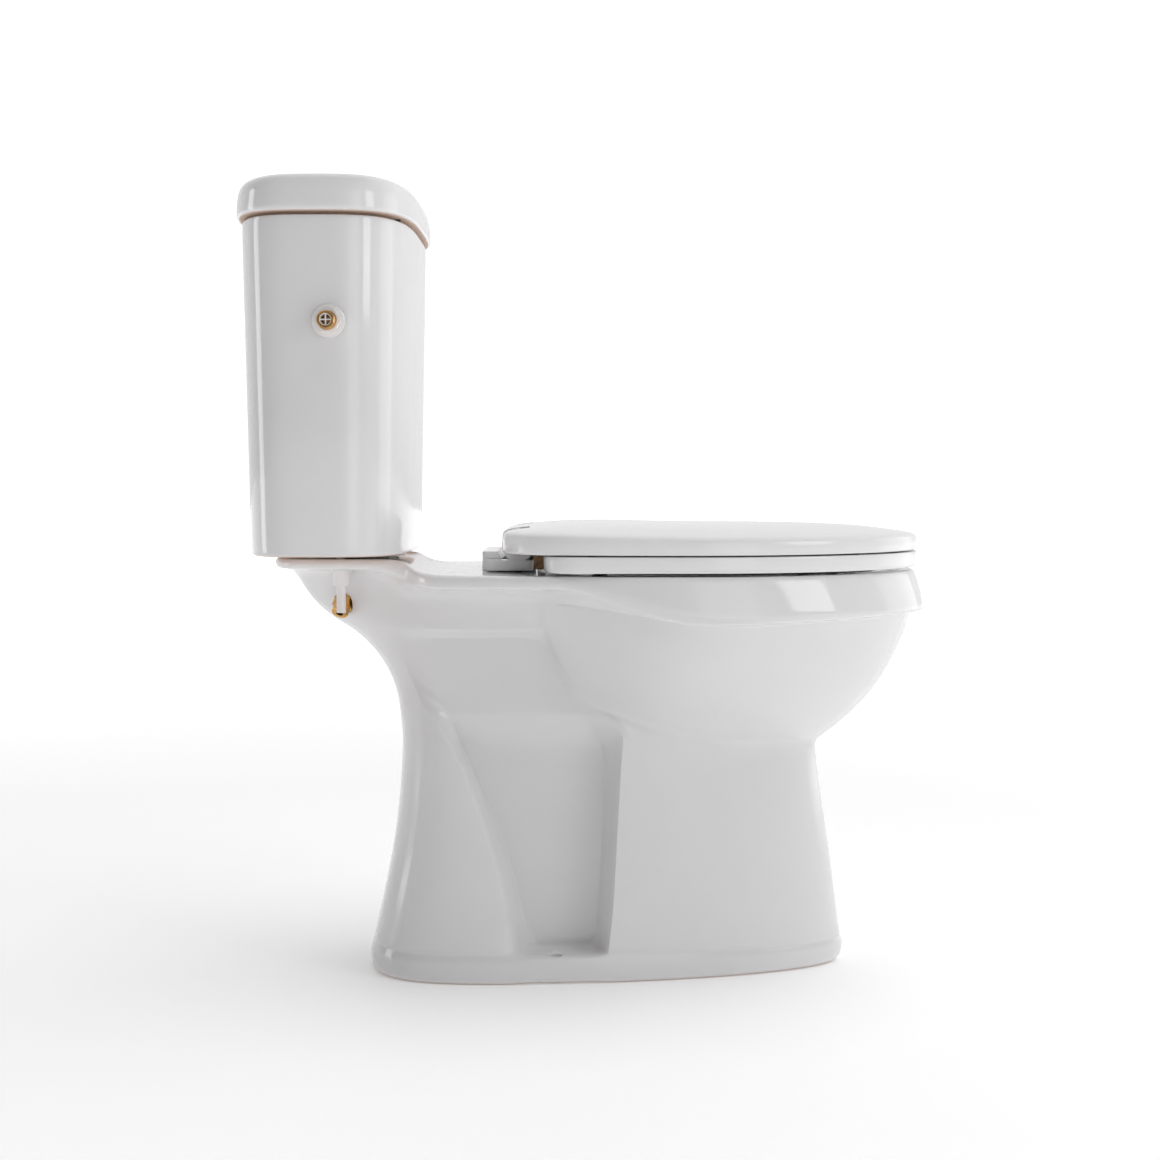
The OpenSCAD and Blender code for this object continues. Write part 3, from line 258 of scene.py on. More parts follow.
DECK_EDGE = [
    (-100, SHELF_HALF_W), (-82, SHELF_HALF_W + 0.5), (-74, SHELF_HALF_W + 9), (-65, SHELF_HALF_W + 26),
    (-54, SHELF_HALF_W + 38), (-42, SHELF_HALF_W + 45), (-15, RIM_HALF_W - 27), (15, RIM_HALF_W - 19),
    (50, RIM_HALF_W - 12), (85, RIM_HALF_W - 6), (120, RIM_HALF_W - 2), (160, RIM_HALF_W)]
SHELF_CORNER_X = -150
UNDER_EDGE = [
    (-96, SHELF_Z - SHELF_T), (-82, SHELF_Z - SHELF_T - 8), (-64, RIM_Z - DECK_T + 2), (-42, RIM_Z - DECK_T),
    (50, RIM_Z - DECK_T + 1), (87, RIM_Z - DECK_T + 2), (106, RIM_Z - 19), (145, RIM_Z - 34),
    (161, RIM_Z - BAND_H), (175, RIM_Z - BAND_H - 4), (205, RIM_Z - BAND_H - 6), (272, RIM_Z - BAND_H - 3),
    (330, RIM_Z - BAND_H)]
SHELF_FRONT = [(-82, SHELF_Z), (-79, SHELF_Z - 1), (-73, RIM_Z + 5), (-64, RIM_Z + 1.5), (-42, RIM_Z)]

# Columns of the pan's skin: rear end, rear bevel, recess floor, front bevel, front
REAR_N, BEVEL_N, FLOOR_N, FRONT_N = 8, 2, 5, 10
COL_A = REAR_N
COL_B = COL_A + BEVEL_N
COL_C = COL_B + FLOOR_N
COL_D = COL_C + BEVEL_N
COLS = COL_D + FRONT_N
# Columns round the shelf's corner, and up to the rim's front half
CORNER_N = 5
EDGE_N = CORNER_N + 1 + len(DECK_EDGE)


def foot_y(x, z):
    w = lookup(z, FOOT_WIDTH)
    if x < 0:
        return w * superellipse(x / lookup(z, REAR_SIDE), lookup(z, REAR_POWER))
    return w * superellipse(x / lookup(z, FOOT_SIDE), FRONT_POWER)


def bowl_y(x, z):
    w = lookup(z, BOWL_WIDTH)
    if x < BOWL_X:
        return w * superellipse((BOWL_X - x) / lookup(z, BOWL_BACK), 2)
    return w * superellipse((x - BOWL_X) / (lookup(z, BOWL_SIDE) - BOWL_X), FRONT_POWER)


def front_z(x, h):
    """Height over the front run, from 0 at the floor to 1 at the crease and 2 under the rim band."""
    if h <= 1:
        return h * lookup(x, CREASE)
    return mix(lookup(x, CREASE) + CREASE_GAP, lookup(x, UNDER_EDGE) - 2, h - 1)


def front_end(h):
    return lookup(h * NECK_Z, FOOT_SIDE) if h <= 1 else lookup(front_z(RIM_FRONT, h), BOWL_SIDE)


def under_slab(x, z):
    return min(z, lookup(x, UNDER_EDGE) - 0.5)


def side_point(i, zr, zc, h, floor_y):
    """A point of the pan's side, with its height at the rear, at the recess and over the front."""
    zd = front_z(lookup(RAIL_MID_Z, RAIL_D), h)
    xa, xb, xc, xd = (lookup(z, t) for z, t in ((zr, RAIL_A), (zc, RAIL_B), (zc, RAIL_C), (zd, RAIL_D)))
    yb = floor_y or foot_y(xb, zc)
    yc = floor_y or foot_y(xc, zc)
    yd = foot_y(xd, zd) if h <= 1 else bowl_y(xd, zd)
    if i <= COL_A:
        xr = -lookup(zr, REAR_SIDE)
        x = xr + (xa - xr) * (1 - math.cos(math.pi / 2 * i / REAR_N))
        return x, 0 if i == 0 else foot_y(x, zr), under_slab(x, zr)
    if i <= COL_B:
        t = (i - COL_A) / BEVEL_N
        return mix(xa, xb, t), mix(foot_y(xa, zr), yb, t), mix(under_slab(xa, zr), zc, t)
    if i <= COL_C:
        x = mix(xb, xc, (i - COL_B) / FLOOR_N)
        return x, floor_y or foot_y(x, zc), zc
    if i <= COL_D:
        t = (i - COL_C) / BEVEL_N
        return mix(xc, xd, t), mix(yc, yd, t), mix(zc, zd, t)
    x = xd + (front_end(h) - xd) * math.sin(math.pi / 2 * (i - COL_D) / FRONT_N)
    z = front_z(x, h)
    return x, 0 if i == COLS else foot_y(x, z) if h <= 1 else bowl_y(x, z), z


def whole(half):
    """Both halves of a ring from its near points."""
    return half + [(x, -y, z) for x, y, z in half[-2:0:-1]]


def side_ring(zr, zc, h, floor_y=0):
    return whole([side_point(i, zr, zc, h, floor_y) for i in range(COLS + 1)])


def deck_point(i, d):
    """The slab's edge, moved out by d."""
    if i <= CORNER_N:
        c = math.cos(math.pi / 2 * i / CORNER_N)
        return SHELF_CORNER_X - (SHELF_REAR + SHELF_CORNER_X + d) * c, (SHELF_HALF_W + d) * superellipse(c, 3)
    if i < EDGE_N:
        x, y = DECK_EDGE[i - CORNER_N - 1]
        return x, y + d
    s = math.sin(math.pi / 2 * (i - EDGE_N) / (COLS - EDGE_N))
    y = 0 if i == COLS else (RIM_HALF_W + d) * superellipse(s, FRONT_POWER)
    return BOWL_X + (RIM_FRONT - BOWL_X + d) * s, y


def flare(x):
    """How far the rim band stands out below the rim's edge: not at the hinge, most at the front."""
    start = smooth((x - 60) / 240)
    front = smooth((x - BOWL_X) / 200)
    return BAND_FLARE * start * (0.45 + 0.55 * front)


def deck_under(d, up):
    """The ring round the lower edge of the slab and of the rim band."""
    points = []
    for i in range(COLS + 1):
        edge_x = deck_point(i, 0)[0]
        points.append((*deck_point(i, flare(edge_x) + d), lookup(edge_x, UNDER_EDGE) + up))
    return whole(points)


def deck_over(d, down):
    """The ring round the upper edge of the slab."""
    points = [deck_point(i, d) for i in range(COLS + 1)]
    return whole([(x, y, lookup(x, SHELF_FRONT) - down) for x, y in points])


def inner_angle(i):
    return 180 - 80 * i / COL_D if i <= COL_D else 100 * (COLS - i) / FRONT_N


def inner_ring(z, xc, ar, af, b, p=2.0, angle=inner_angle, pr=2.2):
    points = [plan_point(angle(i), xc, ar, af, b, pr, p) for i in range(COLS + 1)]
    return whole([(x, 0 if i in (0, COLS) else y, z) for i, (x, y) in enumerate(points)])


OPENING_X = 225
OPENING_BACK = 155
OPENING_FRONT = RIM_FRONT - LIP_FRONT_W - OPENING_X


def opening(d, z):
    return inner_ring(z, OPENING_X, OPENING_BACK + d, OPENING_FRONT + d, OPENING_HALF_W + d)


def across(x_line, least):
    """Rings across the deck: straight where the shelf steps down to the deck, then round the rim."""
    inner = opening(0, RIM_Z)
    points = []
    for i in range(COLS + 1):
        sx, sy = deck_point(i, -4)
        qx, qy, _ = inner[i]
        f = (x_line - sx) / (qx - sx) if sx < x_line else 0
        g = max(least, min(f, 0.9))
        x = mix(sx, qx, g)
        points.append((x, mix(sy, qy, g), lookup(x, SHELF_FRONT)))
    return whole(points)


# Roof of the hollow foot, and where its sides turn outwards to the front
CEILING_Z = 165
HOLLOW_TURN_X = 118
SUMP_X = 150


def foot_ring(z):
    return inset(side_ring(z, z, z / RIDGE_Z, RECESS_LOW_Y), CHINA_T)


def ceiling_ring(z):
    """The foot's hollow at its roof, kept inside the side recesses."""
    row = []
    for x, y, up in foot_ring(z):
        most = RECESS_LOW_Y - CHINA_T - 2 + max(0, x - HOLLOW_TURN_X) * 2
        row.append((x, max(-most, min(most, y)), up))
    return row


def sump_angle(i):
    return 180 - 50 * i / COL_C if i <= COL_C else 130 * (COLS - i) / (COLS - COL_C)


def sump_ring(z, xc, ar, af, b):
    return inner_ring(z, xc, ar, af, b, 2, sump_angle, 2)


def pan_rows():
    """The pan's rings: from below the sump down the hollow foot, up the outside and into the bowl."""
    low, high, lip = RECESS_LOW_Y, RECESS_HIGH_Y, 38
    front = RIM_FRONT - OPENING_X
    return [
        sump_ring(68, SUMP_X, 32, 32, 26),
        sump_ring(76, SUMP_X, 44, 46, 37),
        sump_ring(112, SUMP_X, 58, 64, 52),
        sump_ring(CEILING_Z, SUMP_X + 20, 82, 90, 60),
        ceiling_ring(CEILING_Z),
        foot_ring(CEILING_Z),
        foot_ring(110),
        foot_ring(60),
        foot_ring(0),
        inset(side_ring(0, 0, 0), 3),
        side_ring(6, 6, 6 / RIDGE_Z),
        side_ring(LEDGE_Z - 3, LEDGE_Z - 3, 0.095),
        inset(side_ring(LEDGE_Z + 1, LEDGE_Z, 0.11), 2),
        side_ring(LEDGE_Z + 5, LEDGE_Z + 0.5, 0.125, low + 3),
        side_ring(LEDGE_Z + 9, LEDGE_Z + 4, 0.14, low),
        side_ring(80, 80, 0.3, low),
        side_ring(130, 130, 0.5, low),
        side_ring(180, 180, 0.7, low),
        side_ring(222, 226, 0.87, low),
        side_ring(240, 244, 0.94, mix(low, high, 0.6)),
        side_ring(RIDGE_Z - 4, RIDGE_Z, 1, high),
        side_ring(276, 274, 1.0001, high),
        side_ring(298, 296, 1.25, high),
        side_ring(320, 318, 1.5, high),
        side_ring(RECESS_TOP - 3, RECESS_TOP - 7, 1.75, high),
        side_ring(RECESS_TOP + 4, RECESS_TOP + 3, 1.86),
        side_ring(RIM_Z - 32, RIM_Z - 34, 1.96),
        side_ring(SHELF_Z - SHELF_T, RIM_Z - 17, 2),
        deck_under(-3, 0),
        deck_under(0, 2.5),
        deck_over(0, 3),
        deck_over(-3, 0),
        across(-79, 0.06),
        across(-73, 0.12),
        across(-64, 0.18),
        across(-42, 0.26),
        opening(4, RIM_Z),
        opening(0, RIM_Z - 4),
        opening(0, RIM_Z - lip),
        opening(CHINA_T - 3, RIM_Z - lip),
        opening(CHINA_T - 2, RIM_Z - 14),
        opening(28, RIM_Z - 14),
        inner_ring(RIM_Z - 52, OPENING_X, 166, front - 23, RIM_HALF_W - 29),
        inner_ring(RIM_Z - 102, OPENING_X, 146, front - 46, RIM_HALF_W - 52, 1.9),
        inner_ring(RIM_Z - 127, OPENING_X - 5, 126, front - 66, RIM_HALF_W - 77, 1.8),
        inner_ring(RIM_Z - 152, OPENING_X - 15, 108, front - 75, RIM_HALF_W - 104, 1.8),
        inner_ring(RIM_Z - 172, OPENING_X - 25, 94, front - 88, RIM_HALF_W - 119, 1.8),
        inner_ring(200, OPENING_X - 40, 82, 100, 54),
        inner_ring(150, OPENING_X - 60, 60, 75, 44),
        inner_ring(105, SUMP_X, 43, 50, 38),
        inner_ring(84, SUMP_X, 33, 36, 28),
        inner_ring(80, SUMP_X, 26, 28, 21),
    ]


# Meshes

def make(name, verts, faces):
    """An object from vertices in millimetres."""
    mesh = bpy.data.meshes.new(name)
    mesh.from_pydata([(x * MM, y * MM, z * MM) for x, y, z in verts], [], faces)
    mesh.validate()
    obj = bpy.data.objects.new(name, mesh)
    bpy.context.scene.collection.objects.link(obj)
    return obj


def skin(name, rows, closed=False):
    """A skin of quads over rings that run clockwise seen from above, from the underside outwards and up."""
    n, m = len(rows[0]), len(rows)
    verts = [p for row in rows for p in row]
    faces = []
    for j in range(m if closed else m - 1):
        for i in range(n):
            a, b = j * n + i, j * n + (i + 1) % n
            c, d = (j + 1) % m * n + i, (j + 1) % m * n + (i + 1) % n
            faces.append((a, c, d, b))
    if not closed:
        faces.append(tuple(range(n)))
        faces.append(tuple((m - 1) * n + i for i in reversed(range(n))))
    return make(name, verts, faces)


def applied(obj):
    """Bakes the object's modifiers into its mesh."""
    graph = bpy.context.evaluated_depsgraph_get()
    mesh = bpy.data.meshes.new_from_object(obj.evaluated_get(graph))
    old = obj.data
    obj.modifiers.clear()
    obj.data = mesh
    bpy.data.meshes.remove(old)
    return obj


def creased(obj, columns, lines, value):
    """Keeps edges of a skin tight when it is subdivided, on both sides alike.

    Each line is (first row, last row, first column, last column) and runs along a row or a column.
    """
    mesh = obj.data
    found = {tuple(sorted(edge.vertices)): edge.index for edge in mesh.edges}
    tight = mesh.attributes.new("crease_edge", "FLOAT", "EDGE")
    for row_a, row_b, col_a, col_b in lines:
        steps = max(row_b - row_a, col_b - col_a)
        for k in range(steps):
            ends = []
            for t in (k, k + 1):
                row = row_a + t if row_b > row_a else row_a
                col = col_a + t if col_b > col_a else col_a
                ends.append((row * columns + col, row * columns + (columns - col) % columns))
            for side in (0, 1):
                key = tuple(sorted((ends[0][side], ends[1][side])))
                if key in found:
                    tight.data[found[key]].value = value
    return obj


def subdivided(obj, levels):
    modifier = obj.modifiers.new("subdivision", "SUBSURF")
    modifier.levels = modifier.render_levels = levels
    return applied(obj)


def boolean(obj, others, operation):
    """Joins the others to obj or cuts them from it, and removes them."""
    for other in others:
        modifier = obj.modifiers.new(operation.lower(), "BOOLEAN")
        modifier.operation = operation
        modifier.object = other
        modifier.solver = "MANIFOLD"
    applied(obj)
    for other in others:
        bpy.data.objects.remove(other)
    return obj


def soft_shaded(obj, angle=38):
    """Smooth shading that breaks at edges sharper than the angle."""
    obj.data.shade_smooth()
    obj.data.set_sharp_from_angle(angle=math.radians(angle))
    return obj


def lathe(name, profile, n=64, place=Matrix.Identity(4)):
    """A closed solid turned about its Z axis from (radius, height) points, then placed."""
    verts, faces = [], []
    for r, z in profile:
        for i in range(n):
            a = 2 * math.pi * i / n
            verts.append(place @ Vector((r * math.cos(a), r * math.sin(a), z)))
    m = len(profile)
    for j in range(m - 1):
        for i in range(n):
            a, b = j * n + i, j * n + (i + 1) % n
            faces.append((a, b, b + n, a + n))
    faces.append(tuple(reversed(range(n))))
    faces.append(tuple((m - 1) * n + i for i in range(n)))
    return make(name, verts, faces)


def upright(x, y, z):
    return Matrix.Translation((x, y, z))


def to_side(x, y, z):
    """Turns a shape drawn up Z so that it points to the near side."""
    return Matrix.Translation((x, y, z)) @ Matrix.Rotation(math.radians(90), 4, "X")


def at_bidet():
    """Along the bidet inlet's axis, which turns to the rear and dips, from the face its hexagon sits on."""
    aside = Matrix.Rotation(math.radians(-BIDET_TURN), 4, "Z")
    turn = aside @ Matrix.Rotation(math.radians(90 + BIDET_DIP), 4, "X")
    start = Matrix.Translation((BIDET_X, -foot_y(BIDET_X, BIDET_Z), BIDET_Z))
    return start @ turn @ Matrix.Translation((0, 0, -BIDET_SUNK))


def along_y(y):
    return Matrix.Translation((HINGE_X, y, HINGE_Z)) @ Matrix.Rotation(math.radians(-90), 4, "X")


def rod(name, r, length, place):
    return lathe(name, [(r, 0), (r, length)], place=place)


def drilled(body, cuts):
    """Cuts the solids from the body, one after another."""
    for cut in cuts:
        boolean(body, [flipped(cut)], "DIFFERENCE")
    return body


def swept(name, path, r, n=48):
    """A round tube along a path in the plane of symmetry."""
    rows = []
    for k, (x, z) in enumerate(path):
        ax, az = path[max(0, k - 1)]
        bx, bz = path[min(len(path) - 1, k + 1)]
        length = math.hypot(bx - ax, bz - az)
        nx, nz = -(bz - az) / length, (bx - ax) / length
        rows.append([
            (x + r * math.cos(2 * math.pi * i / n) * nx, r * math.sin(2 * math.pi * i / n),
             z + r * math.cos(2 * math.pi * i / n) * nz) for i in range(n)])
    return skin(name, rows)


def arc(cx, cz, radius, start, stop, steps=12):
    return [(cx + radius * math.cos(math.radians(mix(start, stop, k / steps))),
             cz + radius * math.sin(math.radians(mix(start, stop, k / steps)))) for k in range(steps + 1)]


def flipped(obj):
    """Turns all faces outwards."""
    mesh = bmesh.new()
    mesh.from_mesh(obj.data)
    bmesh.ops.recalc_face_normals(mesh, faces=mesh.faces)
    mesh.to_mesh(obj.data)
    mesh.free()
    return obj


# Trapway: level throat, bend up, over the weir and down to the spigot
THROAT_Z = 105
THROAT_BEND = 45
WEIR_BEND = 38
WEIR_Z = 177


def trap_path(throat_len, down_to):
    rise = 2 * WEIR_BEND
    start = [(rise + THROAT_BEND + throat_len, THROAT_Z)]
    return (start + arc(rise + THROAT_BEND, THROAT_Z + THROAT_BEND, THROAT_BEND, 270, 180)
            + arc(WEIR_BEND, WEIR_Z, WEIR_BEND, 0, 180, 20) + [(0, down_to)])


# Rows of the pan's skin, counted in pan_rows from 0, and how tight their edges stay
ROW_LEDGE, ROW_LOW, ROW_STEP, ROW_HIGH = 12, 14, 18, 20
ROW_PANEL, ROW_LINTEL, ROW_SLAB, ROW_EDGE = 24, 25, 28, 31
TIGHT = 0.75
PAN_CREASES = [
    (ROW_LOW, ROW_LINTEL, COL_A, COL_A),
    (ROW_LOW, ROW_PANEL, COL_B, COL_B),
    (ROW_LOW, ROW_PANEL, COL_C, COL_C),
    (ROW_LEDGE, ROW_LINTEL, COL_D, COL_D),
    (ROW_LEDGE, ROW_LEDGE, COL_A, COL_D),
    (ROW_LOW, ROW_LOW, COL_B, COL_C),
    (ROW_STEP, ROW_STEP, COL_B, COL_C),
    (ROW_HIGH, ROW_HIGH, COL_B, COL_C),
    (ROW_PANEL, ROW_PANEL, COL_B, COL_C),
    (ROW_LINTEL, ROW_LINTEL, COL_A, COL_D),
    (ROW_SLAB, ROW_SLAB, 0, COL_A),
    (ROW_EDGE, ROW_EDGE, 0, COL_A)]


def pan():
    body = skin("pan_china", pan_rows())
    creased(body, 2 * COLS, PAN_CREASES, TIGHT)
    subdivided(body, 2)
    flipped(body)
    trap = flipped(swept("trap", trap_path(8, OUTLET_LEN + 6), TRAP_R + TRAP_WALL))
    spigot = lathe("spigot", [
        (OUTLET_R - 2, 0), (OUTLET_R - 0.6, 0.6), (OUTLET_R, 2), (OUTLET_R, OUTLET_LEN),
        (TRAP_R + TRAP_WALL + 1, OUTLET_LEN + 12)])
    boolean(body, [trap, spigot], "UNION")
    hole_x, hole_y, hole_r = FLOOR_HOLE
    bolt_x, bolt_y, bolt_r = TANK_BOLT
    plug_x, plug_y, plug_r = HINGE_PLUG
    cuts = [
        swept("bore", trap_path(30, OUTLET_LEN - 2), TRAP_R),
        lathe("outlet", [(OUTLET_BORE_R, -5), (OUTLET_BORE_R, OUTLET_LEN - 10), (TRAP_R, OUTLET_LEN)]),
    ]
    for side in (-1, 1):
        cuts.append(lathe("screw", [
            (hole_r, -5), (hole_r, LEDGE_Z - 2), (hole_r + 0.5, LEDGE_Z - 0.6), (hole_r + 3, LEDGE_Z + 0.6),
            (hole_r + 3, LEDGE_Z + 12)], 40, upright(hole_x, side * hole_y, 0)))
        cuts.append(rod("bolt", bolt_r, 60, upright(bolt_x, side * bolt_y, SHELF_Z - 40)))
        place = upright(plug_x, side * plug_y, RIM_Z - HINGE_PLUG_DEPTH)
        cuts.append(rod("plug", plug_r, HINGE_PLUG_DEPTH + 14, place))
    cuts.append(rod("recess", FLUSH_RECESS_R, 60, upright(FLUSH_X, 0, TANK_Z - FLUSH_RECESS_DEPTH)))
    cuts.append(lathe("throat", [
        (DUCT_MOUTH_R, RIM_Z - 36), (FLUSH_HOLE_R, RIM_Z - 15), (FLUSH_HOLE_R, RIM_Z + 30)],
        place=upright(FLUSH_X, 0, 0)))
    cuts.append(lathe("bidet", [
        (BIDET_R - 0.2, -8), (BIDET_R - 0.2, 0), (BIDET_SEAT_R, 0), (BIDET_SEAT_R, 4),
        (BIDET_SEAT_R + 0.4, 40)], place=at_bidet()))
    return soft_shaded(drilled(body, cuts))


# Cistern and its lid

def tank_ring(z, d):
    t = TANK_TAPER * (TANK_TOP - z) / TANK_H
    reach = TANK_DEPTH / 2 + d - t
    return ring(TANK_N, z, TANK_MID, reach, reach, TANK_HALF_W + d - t, *TANK_POWERS)


def cistern():
    body = skin("cistern_china", [
        tank_ring(TANK_Z, -5),
        tank_ring(TANK_Z + 0.4, -1.8),
        tank_ring(TANK_Z + 2, -0.2),
        tank_ring(TANK_Z + 6, 0),
        tank_ring(TANK_Z + 60, 0),
        tank_ring(TANK_Z + TANK_H / 2, 0),
        tank_ring(TANK_TOP - 20, 0),
        tank_ring(TANK_TOP - 3, 0),
        tank_ring(TANK_TOP - 0.3, -0.8),
        tank_ring(TANK_TOP, -3),
        tank_ring(TANK_TOP, -TANK_WALL + 2),
        tank_ring(TANK_TOP - 2, -TANK_WALL),
        tank_ring(TANK_TOP - 30, -TANK_WALL),
        tank_ring(TANK_Z + TANK_FLOOR + 16, -TANK_WALL),
        tank_ring(TANK_Z + TANK_FLOOR + 4, -TANK_WALL - 3),
        tank_ring(TANK_Z + TANK_FLOOR, -TANK_WALL - 12)])
    subdivided(body, 2)
    flipped(body)
    cuts = [rod("outlet", VALVE_HOLE_R, TANK_FLOOR + 4, upright(FLUSH_X, 0, TANK_Z - 2)),
            rod("inlet", SHANK_R + 0.3, 50, to_side(INLET_X, -TANK_HALF_W + 30, INLET_Z))]
    bolt_x, bolt_y, bolt_r = TANK_BOLT
    for side in (-1, 1):
        cuts.append(rod("bolt", bolt_r, TANK_FLOOR + 4, upright(bolt_x, side * bolt_y, TANK_Z - 2)))
    return soft_shaded(drilled(body, cuts))


def cover_ring(z, d):
    return ring(TANK_N, z, TANK_MID, TANK_DEPTH / 2 + d, TANK_DEPTH / 2 + d, TANK_HALF_W + d, *TANK_POWERS)


def cistern_lid():
    top = COVER_Z + COVER_BAND
    lip = -TANK_WALL - 2.5
    body = skin("cistern_lid_china", [
        cover_ring(top - COVER_T, lip - 30),
        cover_ring(top - COVER_T - 3, lip - COVER_T + 2),
        cover_ring(COVER_Z - 7, lip - COVER_T + 3),
        cover_ring(COVER_Z - 9, lip - COVER_T + 5),
        cover_ring(COVER_Z - 9, lip - 2),
        cover_ring(COVER_Z - 7, lip),
        cover_ring(COVER_Z, lip + 1),
        cover_ring(COVER_Z, COVER_OVER - 3.5),
        cover_ring(COVER_Z + 1, COVER_OVER - 0.8),
        cover_ring(COVER_Z + 4, COVER_OVER),
        cover_ring(top - 12, COVER_OVER - 1),
        cover_ring(top - 4, COVER_OVER - 4),
        cover_ring(top + 0.2 * COVER_CROWN, COVER_OVER - 11),
        cover_ring(top + 0.7 * COVER_CROWN, COVER_OVER - 25),
        cover_ring(COVER_TOP, COVER_OVER - 43),
        cover_ring(COVER_TOP, COVER_OVER - 47)])
    subdivided(body, 2)
    flipped(body)
    button = rod("button", LID_HOLE_R, 90, upright(FLUSH_X, 0, top - 60))
    return soft_shaded(drilled(body, [button]))


# Seat

def seat_ring_row(z, d):
    back, front = SEAT_MID - SEAT_BACK_X + d, SEAT_FRONT - SEAT_MID + d
    return ring(SEAT_N, z, SEAT_MID, back, front, SEAT_HALF_W + d, RING_REAR_POWER, SEAT_FRONT_POWER)


def hole_row(z, d):
    return ring(SEAT_N, z, HOLE_X, HOLE_BACK - d, HOLE_FRONT - d, HOLE_HALF_W - d, 2, 2)


def seat_ring():
    top = RING_Z + RING_T
    low = RING_Z - RING_HANG
    body = skin("seat_ring_shell", [
        hole_row(RING_Z + 1, -1.5), seat_ring_row(low, -3.5), seat_ring_row(low + 0.4, -0.8),
        seat_ring_row(low + 2, 0), seat_ring_row(top - 1.6, 0), seat_ring_row(top - 0.3, -0.5),
        seat_ring_row(top, -2.5), hole_row(top, -16), hole_row(top - 3, -5),
        hole_row(RING_Z + 5, 0)], closed=True)
    return soft_shaded(flipped(subdivided(body, 2)), 60)


def seat_lid_row(z, d):
    back, front = SEAT_MID - LID_BACK_X + d, SEAT_FRONT - SEAT_MID + d
    return ring(SEAT_N, z, SEAT_MID, back, front, SEAT_HALF_W + d, LID_REAR_POWER, SEAT_FRONT_POWER)


def lid_row(up, d):
    return [(x, y, LID_Z + up + LID_REAR_RISE * smooth((SEAT_MID - x) / LID_RISE_RUN))
            for x, y, _ in seat_lid_row(LID_Z, d)]


def seat_lid():
    crown = LID_SIDE_H + LID_CROWN
    side = LID_SIDE_H
    low = LID_Z - LID_HANG
    body = skin("seat_lid_shell", [
        lid_row(crown - 8, -115), lid_row(side + 0.55 * LID_CROWN - 4, -60), lid_row(side - 4, -17),
        lid_row(side - 6, -14.5), seat_lid_row(low + 0.8, -13), seat_lid_row(low, -11),
        seat_lid_row(low, -2.5), seat_lid_row(low + 0.3, -0.5),
        seat_lid_row(low + 1.6, 0), lid_row(side - 4, 0), lid_row(side - 1, -1.5), lid_row(side + 1.5, -7),
        lid_row(side + 0.3 * LID_CROWN, -26), lid_row(side + 0.62 * LID_CROWN, -60),
        lid_row(crown - 3, -115)])
    flipped(subdivided(body, 2))
    barrel_half = NOTCH_FROM + 1
    notch = NOTCH_TO - NOTCH_FROM
    barrels = [
        rod("barrel", BARREL_R, 2 * barrel_half, along_y(-barrel_half)),
        rod("end", END_KNUCKLE_R, END_KNUCKLE + 1, along_y(NOTCH_TO - 1)),
        rod("end", END_KNUCKLE_R, END_KNUCKLE + 1, along_y(-NOTCH_TO - END_KNUCKLE))]
    boolean(body, [flipped(b) for b in barrels], "UNION")
    cuts = [
        rod("notch", NOTCH_R, notch, along_y(NOTCH_FROM)),
        rod("notch", NOTCH_R, notch, along_y(-NOTCH_TO)),
        rod("pin", PIN_BORE_R, 240, along_y(-120))]
    boolean(body, [flipped(c) for c in cuts], "DIFFERENCE")
    return soft_shaded(body)


# Materials

def nodes_of(owner):
    owner.use_nodes = True
    return owner.node_tree.nodes, owner.node_tree.links


def surface(name, color, roughness, metallic=0.0, ior=1.5):
    material = bpy.data.materials.new(name)
    nodes, links = nodes_of(material)
    shader = nodes["Principled BSDF"]
    shader.inputs["Base Color"].default_value = (*color, 1)
    shader.inputs["Roughness"].default_value = roughness
    shader.inputs["Metallic"].default_value = metallic
    shader.inputs["IOR"].default_value = ior
    place = nodes.new("ShaderNodeTexCoord")
    return material, nodes, links, shader, place


def noise(nodes, links, place, scale, detail=2.0):
    node = nodes.new("ShaderNodeTexNoise")
    node.inputs["Scale"].default_value = scale
    node.inputs["Detail"].default_value = detail
    links.new(place.outputs["Object"], node.inputs["Vector"])
    return node.outputs["Fac"]


def ranged(nodes, links, value, low, high, from_low=0.0, from_high=1.0):
    node = nodes.new("ShaderNodeMapRange")
    node.inputs["From Min"].default_value = from_low
    node.inputs["From Max"].default_value = from_high
    node.inputs["To Min"].default_value = low
    node.inputs["To Max"].default_value = high
    links.new(value, node.inputs["Value"])
    return node.outputs["Result"]


def blended(nodes, links, factor, a, b):
    """A mix of two colours, each a colour or another node's output."""
    node = nodes.new("ShaderNodeMix")
    node.data_type = "RGBA"
    links.new(factor, node.inputs["Factor"])
    for socket, value in ((node.inputs[6], a), (node.inputs[7], b)):
        if isinstance(value, tuple):
            socket.default_value = (*value, 1)
        else:
            links.new(value, socket)
    return node.outputs[2]


def bumped(nodes, links, shader, heights):
    """Adds bumps from (height output, distance in metres, strength)."""
    normal = None
    for height, distance, strength in heights:
        node = nodes.new("ShaderNodeBump")
        node.inputs["Distance"].default_value = distance
        node.inputs["Strength"].default_value = strength
        links.new(height, node.inputs["Height"])
        if normal is not None:
            links.new(normal, node.inputs["Normal"])
        normal = node.outputs["Normal"]
    links.new(normal, shader.inputs["Normal"])


